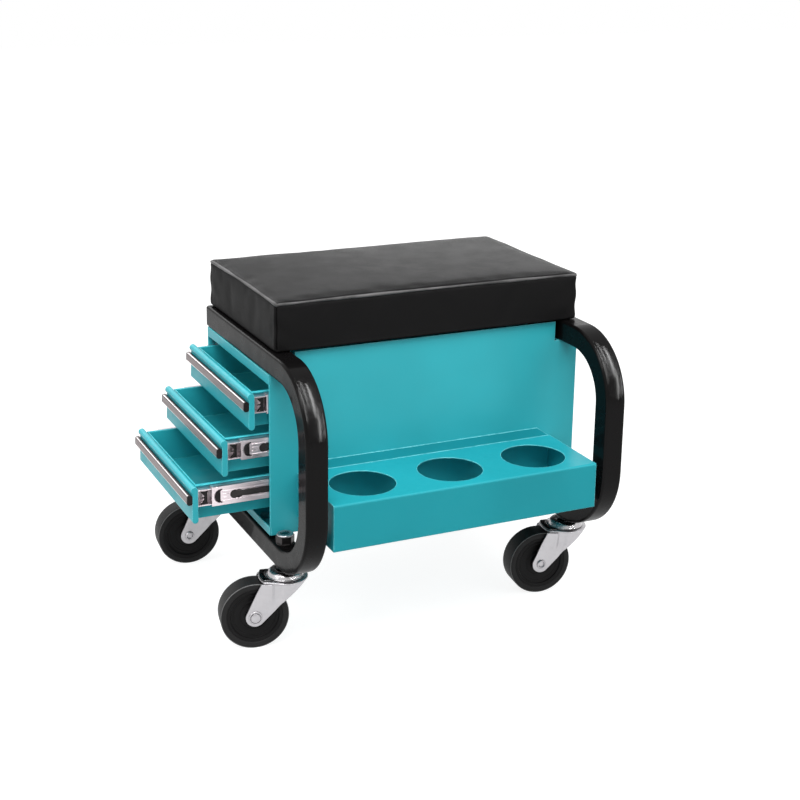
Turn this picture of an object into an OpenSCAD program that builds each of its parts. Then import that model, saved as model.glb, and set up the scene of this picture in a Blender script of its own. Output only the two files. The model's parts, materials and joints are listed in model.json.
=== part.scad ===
// Rolling workshop seat: a padded top on two bent square tubes, a drawer cabinet under it,
// a tray for cans in front and four swivel casters.
// X runs along the seat, the drawers open towards -X, the can tray is on the -Y side, +Z is up.
// The origin is on the floor, under the middle of the whole part as it stands.

/* [Seat] */
// How much shorter than the cabinet the cushion is
cushion_short = 10; // [8:1:12]
// How much deeper than the cabinet the cushion is
cushion_over = 13; // [6:1:20]
// Height of the cushion at its top seam
cushion_h = 55; // [35:1:80]
// Rise of the cushion's middle over its top seam
cushion_crown = 5; // [2:0.5:12]
// How far the cushion's sides draw in between the corners
cushion_draw = 3; // [1:0.5:6]
// Corner radius of the cushion seen from above
cushion_corner_r = 9; // [5:0.5:20]
// Thickness of the seat board inside the cushion
board_t = 10; // [8:1:18]
// Distance from the cushion's edge to the board
board_inset = 7; // [7:0.5:9]
// How far inside the tube's middle the seat bolts stand
seat_bolt_in = 7; // [6:0.5:7.5]

/* [Frame] */
// Outer width of the square tube
tube_w = 25; // [22:0.5:30]
// Wall of the square tube
tube_wall = 1.5; // [1:0.1:2.5]
// Outer corner radius of the square tube
tube_corner_r = 3; // [2:0.5:5]
// Height of the tube's top face, under the seat
hoop_top_z = 332; // [322:1:360]
// Height of the tube's underside over the casters
hoop_bottom_z = 92; // [92:1:96]
// Reach of the tubes in front of the cabinet
hoop_reach = 108; // [106:1:140]
// Outer radius of the top bends
bend_top_r = 77; // [60:1:95]
// Outer radius of the bottom bends
bend_bottom_r = 85; // [60:1:85]
// Length of the tubes past the rear casters
tube_tail = 22; // [20:1:24]

/* [Cabinet] */
// Length of the cabinet along X
cab_l = 384; // [378:1:420]
// Depth of the cabinet along Y
cab_d = 210; // [200:1:230]
// Height of the cabinet's underside
cab_bottom_z = 122; // [121:0.5:124]
// Thickness of the sheet metal
sheet = 1.2; // [0.8:0.1:1.5]
// Height of the rail over the drawers
rail_h = 11; // [8:0.5:12]
// Width of the hem at the panels' free edge
hem_w = 6; // [4:0.5:6.5]
// Outer radius of the folds in the sheet metal
fold_r = 2.4; // [1.8:0.1:3]
// Height of the floor's folded edges
lip_h = 9; // [6:0.5:14]
// Gap beside the tube in the panel's notch, on the tube's inner side
notch_in = 5; // [1:0.5:8]

/* [Drawers] */
// Distance from one drawer to the next
drawer_pitch = 48.5; // [47:0.5:49]
// Height of a drawer front
front_h = 41.5; // [40:0.5:44]
// Depth of a drawer front at its rolled top edge
front_t = 8; // [5:0.5:8]
// How far a drawer front's lower lip stands back from the top edge
lip_back = 1; // [0:0.5:2]
// Gap between the rail and the top drawer front
rail_gap = 8; // [4:0.5:9]
// Length of a drawer box
box_l = 350; // [320:1:355]
// How far the bottom drawer stands open
open_bottom = 89; // [0:1:200]
// How far the middle drawer stands open
open_middle = 55; // [0:1:200]
// How far the top drawer stands open
open_top = 24; // [0:1:200]
// Height of the handle bar
handle_h = 11; // [9:0.5:14]
// Thickness of the handle bar
handle_t = 6; // [5:0.5:7]

/* [Slides] */
// Height of the middle member of a slide
mid_h = 21.5; // [20:0.5:23]
// Total thickness of a slide
slide_t = 12.7; // [12:0.1:14]
// Metal thickness of the slide members
slide_wall = 1.1; // [0.9:0.1:1.3]

/* [Can tray] */
// Length of the tray along X
tray_l = 320; // [316:1:328]
// Reach of the tray in front of the cabinet
tray_reach = 104; // [100:1:105]
// Height of the tray's top sheet
tray_top_z = 191.2; // [170:0.1:220]
// Height of the tray from its lower edge to its top sheet
tray_h = 51.9; // [40:0.1:60]
// Diameter of a can hole
can_d = 73; // [60:0.5:78]
// Distance between can holes
can_pitch = 106; // [96:1:106]
// Distance of the can holes in front of the cabinet
can_reach = 55; // [45:0.5:60]
// Rise of the tray's rear edge over its top sheet
tray_edge_h = 11.5; // [8:0.5:16]

/* [Casters] */
// Diameter of a wheel over its tyre
wheel_d = 76; // [70:1:76]
// Width of the tyre
wheel_w = 24; // [20:0.5:25]
// Distance from the swivel axis to the axle
trail = 36; // [32:0.5:37]
// Radius of the axle
axle_r = 4; // [3:0.5:5]
// Radius of the threaded stem
stem_r = 6; // [5:0.5:6]
// Radius of the fork's crown
crown_r = 25.5; // [25:0.5:27]
// Distance of the front swivels in front of the cabinet
front_caster_reach = 13; // [12.5:0.5:13]
// Distance of the rear swivels behind the cabinet's back
rear_caster_reach = 23; // [22:0.5:28]
// Swivel angle of the front left caster
turn_fl = 169; // [150:1:200]
// Swivel angle of the front right caster
turn_fr = 173; // [150:1:200]
// Swivel angle of the rear left caster
turn_rl = 175; // [150:1:200]
// Swivel angle of the rear right caster
turn_rr = 170; // [150:1:200]

/* [Hidden] */
$fn = 48;

// Colours as seen
teal = [0.20, 0.66, 0.70];
teal_dark = [0.12, 0.55, 0.60];
gloss_black = [0.10, 0.10, 0.11];
vinyl_black = [0.14, 0.14, 0.15];
zinc = [0.78, 0.78, 0.80];
wood = [0.72, 0.58, 0.40];
rubber = [0.20, 0.20, 0.21];

// Clearances
soft_gap = 0.3;      // soft solid to its neighbour
slip = 0.35;         // between moving members
run_fit = 0.05;      // radial, axle in wheel and pin in crown
hole_gap = 0.2;      // radial, bolt in its hole
front_gap = 1.5;     // drawer front to the panel beside it
inset_gap = 0.5;     // drawer front behind the cabinet's edge

half_l = cab_l / 2;
cushion_l = cab_l - cushion_short;
cushion_d = cab_d + cushion_over;
rear_caster_y = cab_d + rear_caster_reach;
tube_x = half_l - tube_w / 2;
tube_floor_z = hoop_bottom_z + tube_w;
tube_under_z = hoop_top_z - tube_w;
wheel_r = wheel_d / 2;

// Drawers, from the bottom up
opened = [open_bottom, open_middle, open_top];
front_w = cab_d - 2 * sheet - 2 * front_gap;
front_home_x = -half_l + inset_gap;
box_home_x = front_home_x + front_t;
box_y = sheet + slide_t;
box_w = cab_d - 2 * box_y;
box_drop = 1.5;
box_rise = 1;
box_rim_w = 2.2;
slide_drop = 14;
outer_flange_short = 3;
mid_flange_short = 2;
mid_setback = 3;
mid_share = [0.86, 0.78, 0.55];
inner_h = mid_h - 2 * slide_wall - 2 * slip;
outer_h = mid_h + 2 * slide_wall + 2 * slip;
slide_l = box_l;
mid_slot_l = 60;
mid_slot_h = 8;
mid_slot_x = 38;
mid_hole_r = 5;
mid_hole_x = 30.5;
mid_lune_r = 8;
mid_lune_x = 10.5;
mid_lune_t = 5;
handle_edge_r = 2.4;
handle_drop = 1;
cap_t = 2;
lip_r = (front_t - lip_back) / 2;

function front_top(i) = hoop_top_z - tube_w - rail_h - rail_gap - (2 - i) * drawer_pitch;
function front_x(i) = front_home_x - opened[i];
function slide_z(i) = front_top(i) - slide_drop;
function mid_out(i) = opened[i] * mid_share[i];

// Casters: swivel place and angle
corners = ["fl", "fr", "rl", "rr"];
swivel_at = [
    [-tube_x, -front_caster_reach], [tube_x, -front_caster_reach],
    [-tube_x, rear_caster_y], [tube_x, rear_caster_y]
];
turns = [turn_fl, turn_fr, turn_rl, turn_rr];
crown_over = 1;
crown_under_z = wheel_d + crown_over;
crown_t = 2.5;
crown_shift = 2.5;
crown_z = crown_under_z + crown_t;
race_gap = 0.6;
dome_z = crown_z + race_gap;
dome_h = 4.5;
dome_r = 21;
ball_r = 2;
ball_ring_r = 15.5;
ball_count = 18;
pin_r = 5;
pin_head_r = 9;
pin_head_t = 2.5;
leg_t = 2;
leg_flare = 4.5;
flare_from = 14;
flare_to = 3;
leg_tuck = 2;
hub_over = 1.2;
hub_w = wheel_w + 2 * hub_over;
hub_r = 11;
web_t = 8;
rim_t = 4;
rim_inset = 1.5;
leg_gap = hub_w + 2 * soft_gap;
leg_out = leg_gap / 2 + leg_t;
boss_r = 10.5;
tyre_t = 7;
core_r = wheel_r - tyre_t;
shoulder_r = 3;
axle_head_r = axle_r + 2.2;
axle_head_t = 2.5;
washer_t = 1.5;
washer_r = 10;
nut_h = 8;
nut_flats = 18;
thread_over = 2;
bolt_r = 3;
bolt_flats = 10;
bolt_head_h = 4;

// Seat and floor fixings along Y
seat_bolt_end = 40;
floor_bolt_end = 50;
seat_bolt_y = [seat_bolt_end, cab_d - seat_bolt_end];
floor_bolt_y = [floor_bolt_end, cab_d - floor_bolt_end];

// Point where a line from p touches a circle about c
function touch(p, c, r, side) =
    let (d = c - p, l = norm(d), a = atan2(d.y, d.x) + side * asin(r / l))
        p + sqrt(l * l - r * r) * [cos(a), sin(a)];

// Drawer front's section, drawn with X to the back and Y up from its top edge: a face runs from
// under the rolled edge down to the rolled lip, and the handle bar lies on its upper part
bead_r = front_t / 2;
front_neck = [bead_r / 2, -front_t];
front_lip = [front_t - lip_r, lip_r - front_h];
face_low = touch(front_neck, front_lip, lip_r, -1);
face_lean = atan2(front_neck.x - face_low.x, front_neck.y - face_low.y);
handle_mid = front_neck - (handle_drop + handle_h / 2) * [sin(face_lean), cos(face_lean)]
    - (handle_t / 2 + run_fit) * [cos(face_lean), -sin(face_lean)];

// Places the whole part over its origin
low_x = front_x(0) + handle_mid.x - (handle_h / 2 - handle_edge_r) * sin(face_lean)
    - (handle_t / 2 - handle_edge_r) * cos(face_lean) - handle_edge_r;
high_x = tube_x + crown_shift * cos(turn_fr) + crown_r;
low_y = -hoop_reach;
high_y = rear_caster_y + crown_shift * sin(turn_rr) + crown_r;
origin_x = (low_x + high_x) / 2;
origin_y = (low_y + high_y) / 2;

module at_origin() translate([-origin_x, -origin_y, 0]) children();

// A square with round corners about the origin
module round_square(w, r) {
    square([w, w - 2 * r], center = true);
    square([w - 2 * r, w], center = true);
    for (a = [-1, 1], b = [-1, 1]) translate([a * (w / 2 - r), b * (w / 2 - r)]) circle(r, $fn = 24);
}

// A rectangle with round corners about the origin
module round_rect(w, h, r) {
    square([w, h - 2 * r], center = true);
    square([w - 2 * r, h], center = true);
    for (a = [-1, 1], b = [-1, 1]) translate([a * (w / 2 - r), b * (h / 2 - r)]) circle(r, $fn = 24);
}

module hex_prism(flats, h) cylinder(r = flats / sqrt(3), h = h, $fn = 6);

// Repeats a piece in the two side tubes
module both_tubes() for (s = [-1, 1]) translate([s * tube_x, 0, 0]) children();

// Repeats a piece at the four seat bolts
module at_seat_bolts(sides = [-1, 1]) for (s = sides, y = seat_bolt_y)
    translate([s * (tube_x - seat_bolt_in), y, 0]) children();

// Cushion outline: points round a rectangle with round corners and drawn-in sides
long_steps = 16;
short_steps = 10;
corner_steps = 4;

function side_points(p, q, n, draw) = [
    for (k = [0:n - 1])
        let (s = k / n, d = q - p, l = norm(d), inward = [-d.y, d.x] / l)
            p + d * s + inward * draw * sin(180 * s)
];
function corner_points(c, r, from, pinch) = [
    for (k = [0:corner_steps - 1])
        let (a = from + 90 * k / corner_steps, rr = k == corner_steps / 2 ? r - pinch : r)
            c + rr * [cos(a), sin(a)]
];
function ring_points(inset, draw, pinch) =
    let (a = cushion_l / 2 - inset, b = cushion_d / 2 - inset, r = max(cushion_corner_r - inset / 2, 1))
        concat(
            side_points([-a + r, -b], [a - r, -b], long_steps, draw),
            corner_points([a - r, -b + r], r, -90, pinch),
            side_points([a, -b + r], [a, b - r], short_steps, draw),
            corner_points([a - r, b - r], r, 0, pinch),
            side_points([a - r, b], [-a + r, b], long_steps, draw),
            corner_points([-a + r, b - r], r, 90, pinch),
            side_points([-a, b - r], [-a, -b + r], short_steps, draw),
            corner_points([-a + r, -b + r], r, 180, pinch)
        );

// Rings of the cushion: height, inset, share of the draw, corner pinch
seam_proud = 0.8;
cushion_side = [
    [0, 2.5, 1, 0], [1.5, 0.8, 1, 0.6], [cushion_h * 0.2, 0.4, 0.7, 1], [cushion_h * 0.5, 0, 0.35, 1.2],
    [cushion_h * 0.8, 0.6, 0.7, 1], [cushion_h - 3, 1.2, 1, 0.8], [cushion_h - 1.5, 1.2 - seam_proud, 1, 0],
    [cushion_h, 1.8, 1, 0]
];
crown_insets = [6, 14, 28, 48, 76];
function crown_at(inset) = cushion_crown * sin(90 * min(1, inset / (cushion_d / 2)));
cushion_top = [for (i = crown_insets) [cushion_h + crown_at(i), i, max(0, 1 - i / 60), 0]];
cushion_rings = concat(cushion_side, cushion_top);

module cushion_form() {
    rings = [
        for (k = cushion_rings) [for (p = ring_points(k[1], cushion_draw * k[2], k[3])) [p.x, p.y, k[0]]]
    ];
    n = len(rings[0]);
    m = len(rings);
    points = concat([for (r = rings) each r], [[0, 0, 0], [0, 0, cushion_h + cushion_crown]]);
    walls = [
        for (j = [0:m - 2], i = [0:n - 1])
            let (a = j * n + i, b = j * n + (i + 1) % n) each [[a, a + n, b], [b, a + n, b + n]]
    ];
    under = [for (i = [0:n - 1]) [m * n, i, (i + 1) % n]];
    over = [for (i = [0:n - 1]) [m * n + 1, (m - 1) * n + (i + 1) % n, (m - 1) * n + i]];
    polyhedron(points, concat(walls, under, over));
}

seat_z = hoop_top_z + soft_gap;
board_z = hoop_top_z;
board_l = cushion_l - 2 * board_inset;
board_d = cushion_d - 2 * board_inset;

module seat_cushion() color(vinyl_black) translate([0, cab_d / 2, seat_z]) difference() {
    cushion_form();
    translate([-board_l / 2 - soft_gap, -board_d / 2 - soft_gap, -1])
        cube([board_l + 2 * soft_gap, board_d + 2 * soft_gap, board_t + 1]);
}

module seat_board() color(wood) difference() {
    translate([-board_l / 2, (cab_d - board_d) / 2, board_z]) cube([board_l, board_d, board_t]);
    at_seat_bolts() translate([0, 0, board_z - 1]) cylinder(r = bolt_r + hole_gap, h = board_t + 2);
}

module seat_bolts() color(zinc) at_seat_bolts() translate([0, 0, tube_under_z - sheet]) {
    translate([0, 0, -bolt_head_h]) hex_prism(bolt_flats, bolt_head_h);
    cylinder(r = bolt_r, h = sheet + tube_w + board_t - 1);
}

// One tube path in the Y and Z plane, of any section
module tube_path(w, r, extra) {
    mid_off = tube_w / 2;
    front = -hoop_reach;
    rt = bend_top_r - mid_off;
    rb = bend_bottom_r - mid_off;
    rotate([90, 0, 90]) {
        translate([front + bend_top_r, hoop_top_z - mid_off, 0])
            rotate([90, 0, 90]) linear_extrude(hoop_reach - bend_top_r + cab_d + extra) round_square(w, r);
        translate([front + bend_top_r, hoop_top_z - bend_top_r, 0])
            rotate([0, 0, 90]) rotate_extrude(angle = 90) translate([rt, 0]) round_square(w, r);
        translate([front + mid_off, hoop_bottom_z + bend_bottom_r, 0]) rotate([-90, 0, 0])
            linear_extrude(hoop_top_z - bend_top_r - hoop_bottom_z - bend_bottom_r) round_square(w, r);
        translate([front + bend_bottom_r, hoop_bottom_z + bend_bottom_r, 0])
            rotate([0, 0, 180]) rotate_extrude(angle = 90) translate([rb, 0]) round_square(w, r);
        translate([front + bend_bottom_r, hoop_bottom_z + mid_off, 0]) rotate([90, 0, 90])
            linear_extrude(hoop_reach - bend_bottom_r + rear_caster_y + tube_tail + extra)
                round_square(w, r);
    }
}

module hoop(side) color(gloss_black) difference() {
    translate([side * tube_x, 0, 0]) difference() {
        tube_path(tube_w, tube_corner_r, 0);
        tube_path(tube_w - 2 * tube_wall, tube_corner_r - tube_wall, 1);
        for (y = [-front_caster_reach, rear_caster_y])
            translate([0, y, hoop_bottom_z - 1]) cylinder(r = stem_r + hole_gap, h = tube_w + 2);
        for (y = floor_bolt_y)
            translate([0, y, hoop_bottom_z - 1]) cylinder(r = bolt_r + hole_gap, h = tube_w + 2);
    }
    at_seat_bolts([side])
        translate([0, 0, tube_under_z - 1]) cylinder(r = bolt_r + hole_gap, h = tube_w + 2);
}

module hoop_left() hoop(-1);
module hoop_right() hoop(1);

// Plastic plugs in the open tube ends: a plate over the end and a shank inside
module end_plug() {
    plate = 2;
    shank = 12;
    core = tube_w - 2 * tube_wall - 2 * hole_gap;
    rotate([-90, 0, 0]) linear_extrude(plate) round_square(tube_w, tube_corner_r);
    translate([-core / 2, -shank, -core / 2]) cube([core, shank, core]);
}

module hoop_end_plugs() color(rubber) both_tubes() {
    translate([0, cab_d, hoop_top_z - tube_w / 2]) end_plug();
    translate([0, rear_caster_y + tube_tail, hoop_bottom_z + tube_w / 2]) end_plug();
}

// Upright sheet with notches where the tubes pass, from its outer face at y = 0 inwards
panel_top_z = hoop_top_z - 2;

module notched_panel() difference() {
    translate([-half_l + sheet, 0, cab_bottom_z])
        cube([cab_l - sheet, sheet, panel_top_z - cab_bottom_z]);
    for (s = [-1, 1]) translate([s * tube_x, 0, 0]) mirror([s > 0 ? 1 : 0, 0, 0])
        translate([-tube_w / 2 - soft_gap, -1, tube_under_z])
            cube([tube_w + soft_gap + notch_in, sheet + 2, tube_w]);
}

// Hem: the edge beside the drawers, turned back on itself between the floor's lip and the rail
module hem() {
    z0 = cab_bottom_z + lip_h;
    h = tube_under_z - rail_h - z0;
    translate([-half_l + sheet, sheet, z0]) {
        cylinder(r = sheet, h = h);
        cube([hem_w - sheet, sheet, h]);
    }
}

module hemmed_panel() {
    notched_panel();
    hem();
}

module front_panel() color(teal) hemmed_panel();
module back_panel() color(teal) translate([0, cab_d, 0]) mirror([0, 1, 0]) hemmed_panel();

// Flat strip under a tube that the seat bolts hold
flange_w = tube_w;

module bolted_flange(side) difference() {
    translate([side < 0 ? -half_l : half_l - flange_w, sheet, tube_under_z - sheet])
        cube([flange_w, cab_d - 2 * sheet, sheet]);
    at_seat_bolts([side])
        translate([0, 0, tube_under_z - sheet - 1]) cylinder(r = bolt_r + hole_gap, h = sheet + 2);
}

module end_panel() color(teal) {
    bolted_flange(1);
    translate([half_l - sheet, sheet, cab_bottom_z])
        cube([sheet, cab_d - 2 * sheet, tube_under_z - cab_bottom_z]);
}

module top_rail() color(teal) {
    bolted_flange(-1);
    translate([-half_l, sheet, tube_under_z - rail_h]) cube([sheet, cab_d - 2 * sheet, rail_h]);
    for (y = [sheet, cab_d - 2 * sheet])
        translate([-half_l, y, tube_under_z - rail_h]) cube([flange_w, sheet, rail_h]);
}

module floor_panel() color(teal) difference() {
    wide = cab_d - 2 * sheet;
    union() {
        translate([-half_l, sheet, cab_bottom_z]) cube([cab_l - sheet, wide, sheet]);
        translate([-half_l, sheet, cab_bottom_z]) cube([sheet, wide, lip_h]);
        for (y = [sheet, cab_d - 2 * sheet])
            translate([-half_l, y, cab_bottom_z]) cube([cab_l - sheet, sheet, lip_h]);
        translate([half_l - 2 * sheet, sheet, cab_bottom_z]) cube([sheet, wide, lip_h]);
    }
    both_tubes() for (y = floor_bolt_y)
        translate([0, y, cab_bottom_z - 1]) cylinder(r = bolt_r + hole_gap, h = sheet + 2);
}

module floor_spacers() color(rubber) both_tubes() for (y = floor_bolt_y) translate([0, y, tube_floor_z])
    difference() {
        cylinder(r = 2.5 * bolt_r, h = cab_bottom_z - tube_floor_z);
        translate([0, 0, -1]) cylinder(r = bolt_r + hole_gap, h = cab_bottom_z - tube_floor_z + 2);
    }

// Bolts from the cabinet's floor down through the tubes, with their nuts
module floor_bolts() color(zinc) both_tubes() for (y = floor_bolt_y) translate([0, y, 0]) {
    top = cab_bottom_z + sheet;
    shank_end = hoop_bottom_z - bolt_head_h - 1;
    translate([0, 0, top]) hex_prism(bolt_flats, bolt_head_h);
    translate([0, 0, shank_end]) cylinder(r = bolt_r, h = top - shank_end);
    translate([0, 0, hoop_bottom_z - bolt_head_h]) hex_prism(bolt_flats, bolt_head_h);
}

// Side of the tray, drawn in Y and Z, with the fold's radius at its upper front corner
module tray_side() {
    z0 = tray_top_z - tray_h;
    translate([-tray_reach, z0]) square([tray_reach, tray_h - fold_r]);
    translate([-tray_reach + fold_r, z0]) square([tray_reach - fold_r, tray_h]);
    translate([-tray_reach + fold_r, tray_top_z - fold_r]) circle(fold_r);
}

// What is left of the side once the space under the folded sheet is taken away
module tray_fold() difference() {
    tray_side();
    inner_r = fold_r - sheet;
    translate([-tray_reach + sheet, tray_top_z - tray_h - 1]) square([tray_reach, tray_h + 1 - fold_r]);
    translate([-tray_reach + fold_r, tray_top_z - fold_r - 1]) square([tray_reach, 1 + inner_r]);
    translate([-tray_reach + fold_r, tray_top_z - fold_r]) circle(inner_r);
}

module along_tray(x, l) translate([x, 0, 0]) rotate([90, 0, 90]) linear_extrude(l) children();

// Tray: one folded sheet with can holes, closed ends and a rear edge against the cabinet
edge_slope = 18;

module can_tray() color(teal) {
    difference() {
        along_tray(-tray_l / 2, tray_l) tray_fold();
        for (k = [-1:1]) translate([k * can_pitch, -can_reach, tray_top_z - sheet - 1])
            cylinder(d = can_d, h = sheet + 2, $fn = 96);
    }
    for (x = [-tray_l / 2, tray_l / 2 - sheet]) along_tray(x, sheet) tray_side();
    translate([0, 0, tray_top_z - sheet]) rotate([90, 0, 0]) linear_extrude(sheet) polygon([
        [-tray_l / 2, 0], [tray_l / 2, 0], [tray_l / 2 - edge_slope, tray_edge_h + sheet],
        [-tray_l / 2 + edge_slope, tray_edge_h + sheet]
    ]);
}

// Sheet that the cans stand on, with edges folded up inside the tray
module tray_floor() color(teal_dark) {
    z0 = tray_top_z - tray_h;
    w = tray_l - 2 * sheet;
    d = tray_reach - sheet;
    translate([-w / 2, -d, z0]) cube([w, d, sheet]);
    for (y = [-d, -sheet]) translate([-w / 2, y, z0]) cube([w, sheet, lip_h]);
    for (x = [-w / 2, w / 2 - sheet]) translate([x, -d, z0]) cube([sheet, d, lip_h]);
}

// Drawer box: floor and four walls, open at the top, with its side walls' edges folded outwards
module drawer_box(i) color(teal_dark) {
    z0 = front_top(i) - front_h + box_rise;
    h = front_h - box_rise - box_drop;
    translate([front_x(i) + front_t, box_y, z0]) {
        difference() {
            cube([box_l, box_w, h]);
            translate([sheet, sheet, sheet]) cube([box_l - 2 * sheet, box_w - 2 * sheet, h]);
        }
        for (y = [-box_rim_w, box_w]) translate([0, y, h - sheet]) cube([box_l, box_rim_w, sheet]);
    }
}

module front_section() {
    translate([bead_r, -bead_r]) circle(bead_r);
    translate(front_lip) circle(lip_r);
    polygon([
        [front_t, -bead_r], [bead_r, -bead_r], front_neck, face_low, front_lip, [front_t, front_lip.y]
    ]);
}

// Space inside the folded front, open to the drawer box
module front_inside() polygon([
    [front_t + 1, front_neck.y - sheet], [front_neck.x + 2 * sheet, front_neck.y - sheet], front_lip,
    [front_t + 1, front_lip.y]
]);

// Lays a section along a drawer's front, from y on
module along_front(i, y, l) translate([front_x(i), y, front_top(i)])
    rotate([90, 0, 0]) mirror([0, 0, 1]) linear_extrude(l) children();

front_y = sheet + front_gap;

// Drawer front: a folded sheet, closed at its ends
module drawer_front(i) color(teal) difference() {
    along_front(i, front_y, front_w) front_section();
    along_front(i, front_y + sheet, front_w - 2 * sheet) front_inside();
}

module handle_section() translate(handle_mid) rotate(-face_lean)
    round_rect(handle_t, handle_h, handle_edge_r);

module drawer_handle(i) color(zinc) along_front(i, front_y + cap_t, front_w - 2 * cap_t) handle_section();

module drawer_caps(i) color(rubber) for (y = [front_y, front_y + front_w - cap_t])
    along_front(i, y, cap_t) handle_section();

module drawer_1_box() drawer_box(0);
module drawer_2_box() drawer_box(1);
module drawer_3_box() drawer_box(2);
module drawer_1_front() drawer_front(0);
module drawer_2_front() drawer_front(1);
module drawer_3_front() drawer_front(2);
module drawer_1_handle() drawer_handle(0);
module drawer_2_handle() drawer_handle(1);
module drawer_3_handle() drawer_handle(2);
module drawer_1_caps() drawer_caps(0);
module drawer_2_caps() drawer_caps(1);
module drawer_3_caps() drawer_caps(2);

// Repeats a slide member on the front side and, turned over, on the back side
module both_sides() {
    translate([0, sheet, 0]) children();
    translate([0, cab_d - sheet, 0]) mirror([0, 1, 0]) children();
}

// A channel of length l, open towards +Y, its web on the plane y = 0
module channel(l, h, deep) {
    translate([0, 0, -h / 2]) cube([l, slide_wall, h]);
    for (z = [-h / 2, h / 2 - slide_wall]) translate([0, 0, z]) cube([l, deep, slide_wall]);
}

mid_y = slide_wall + slip;
inner_y = mid_y + slide_wall + slip;

// Cuts an outline, drawn in X and Z, through a channel's web
module through_web() translate([0, slide_wall + 1, 0]) rotate([90, 0, 0])
    linear_extrude(slide_wall + 2) children();

module slide_outer(i) color(zinc) both_sides()
    translate([box_home_x + inset_gap, 0, slide_z(i)])
        channel(slide_l, outer_h, slide_t - outer_flange_short);

module slide_middle(i) color(zinc) both_sides()
    translate([box_home_x + mid_setback - mid_out(i), mid_y, slide_z(i)]) difference() {
        channel(slide_l - mid_setback, mid_h, slide_t - mid_y - mid_flange_short);
        through_web() {
            translate([mid_hole_x, 0]) circle(mid_hole_r);
            translate([mid_slot_x, -mid_slot_h / 2]) square([mid_slot_l, mid_slot_h]);
            difference() {
                translate([mid_lune_x, 0]) circle(mid_lune_r);
                translate([mid_lune_x + mid_lune_t, 0]) circle(mid_lune_r);
            }
        }
    }

// The inner member opens towards the panel and is fixed to the drawer's side
module slide_inner(i) color(zinc) both_sides()
    translate([front_x(i) + front_t, slide_t, slide_z(i)]) mirror([0, 1, 0])
        channel(slide_l - mid_setback, inner_h, slide_t - inner_y);

module slide_1_outer() slide_outer(0);
module slide_2_outer() slide_outer(1);
module slide_3_outer() slide_outer(2);
module slide_1_middle() slide_middle(0);
module slide_2_middle() slide_middle(1);
module slide_3_middle() slide_middle(2);
module slide_1_inner() slide_inner(0);
module slide_2_inner() slide_inner(1);
module slide_3_inner() slide_inner(2);

// Places a piece at a caster's swivel axis, X along its trail
module at_swivel(i) translate([swivel_at[i].x, swivel_at[i].y, 0]) rotate([0, 0, turns[i]]) children();
module at_each_swivel() for (i = [0:3]) at_swivel(i) children();

// Stem: pin and rivet head under the crown, shoulder on the dome, thread through the tube
module caster_stems() color(zinc) at_each_swivel() {
    translate([0, 0, crown_under_z - soft_gap - pin_head_t]) cylinder(r = pin_head_r, h = pin_head_t);
    translate([0, 0, crown_under_z - soft_gap - pin_head_t])
        cylinder(r = pin_r, h = dome_z + dome_h - crown_under_z + soft_gap + pin_head_t);
    translate([0, 0, dome_z + dome_h]) hex_prism(nut_flats, hoop_bottom_z - dome_z - dome_h);
    translate([0, 0, dome_z + dome_h])
        cylinder(r = stem_r, h = tube_floor_z + washer_t + nut_h + thread_over - dome_z - dome_h);
}

module caster_nuts() color(zinc) at_each_swivel() translate([0, 0, tube_floor_z]) difference() {
    union() {
        cylinder(r = washer_r, h = washer_t);
        translate([0, 0, washer_t]) hex_prism(nut_flats, nut_h);
    }
    translate([0, 0, -1]) cylinder(r = stem_r + run_fit, h = washer_t + nut_h + 2);
}

// Dome over the ball race, with a groove for the balls underneath
module swivel_domes() color(zinc) at_each_swivel() translate([0, 0, dome_z]) difference() {
    rotate_extrude() polygon([
        [pin_r + run_fit, 0], [dome_r, 0], [dome_r, dome_h * 0.4], [dome_r - 2, dome_h * 0.7],
        [dome_r - 8, dome_h], [pin_r + run_fit, dome_h]
    ]);
    ball_groove(-race_gap / 2);
}

module ball_groove(z) rotate_extrude() translate([ball_ring_r, z]) circle(ball_r + run_fit, $fn = 32);

module swivel_balls() color(zinc) at_each_swivel() for (k = [0:ball_count - 1])
    rotate([0, 0, 360 * k / ball_count])
        translate([ball_ring_r, 0, dome_z - race_gap / 2]) sphere(ball_r, $fn = 24);

// Plan of a leg: flat beside the wheel, flared beside the swivel and tucked in behind it
leg_back = sqrt(crown_r * crown_r - pow(leg_out, 2)) - crown_shift;
leg_line = [
    [trail + boss_r, leg_out], [flare_from, leg_out], [flare_to, leg_out + leg_flare],
    [-leg_back, leg_out - leg_tuck]
];

module leg_plan() polygon(concat(leg_line, [for (k = [3:-1:0]) leg_line[k] - [0, leg_t]]));

// Side view of a leg: from the crown down to a round boss at the axle
module leg_side() {
    axle_at = [trail, wheel_r];
    top_front = [leg_back + 2 * crown_shift, crown_under_z];
    top_rear = [-leg_back, crown_under_z];
    polygon([
        top_front, touch(top_front, axle_at, boss_r, 1), axle_at,
        touch(top_rear, axle_at, boss_r, -1), top_rear
    ]);
    translate(axle_at) circle(boss_r);
}

module fork_leg() intersection() {
    linear_extrude(crown_under_z) leg_plan();
    translate([0, leg_out + leg_flare, 0]) rotate([90, 0, 0])
        linear_extrude(2 * leg_flare + leg_t + leg_tuck) leg_side();
}

// Fork: round crown with a ball groove and two pressed legs
module fork(i) color(zinc) at_swivel(i) difference() {
    union() {
        translate([crown_shift, 0, crown_under_z]) cylinder(r = crown_r, h = crown_t);
        fork_leg();
        mirror([0, 1, 0]) fork_leg();
    }
    translate([0, 0, crown_under_z - 1]) cylinder(r = pin_r + run_fit, h = crown_t + 2);
    translate([0, 0, dome_z]) ball_groove(-race_gap / 2);
    translate([trail, 0, wheel_r]) rotate([90, 0, 0])
        cylinder(r = axle_r + run_fit, h = 2 * crown_r, center = true);
}

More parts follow.
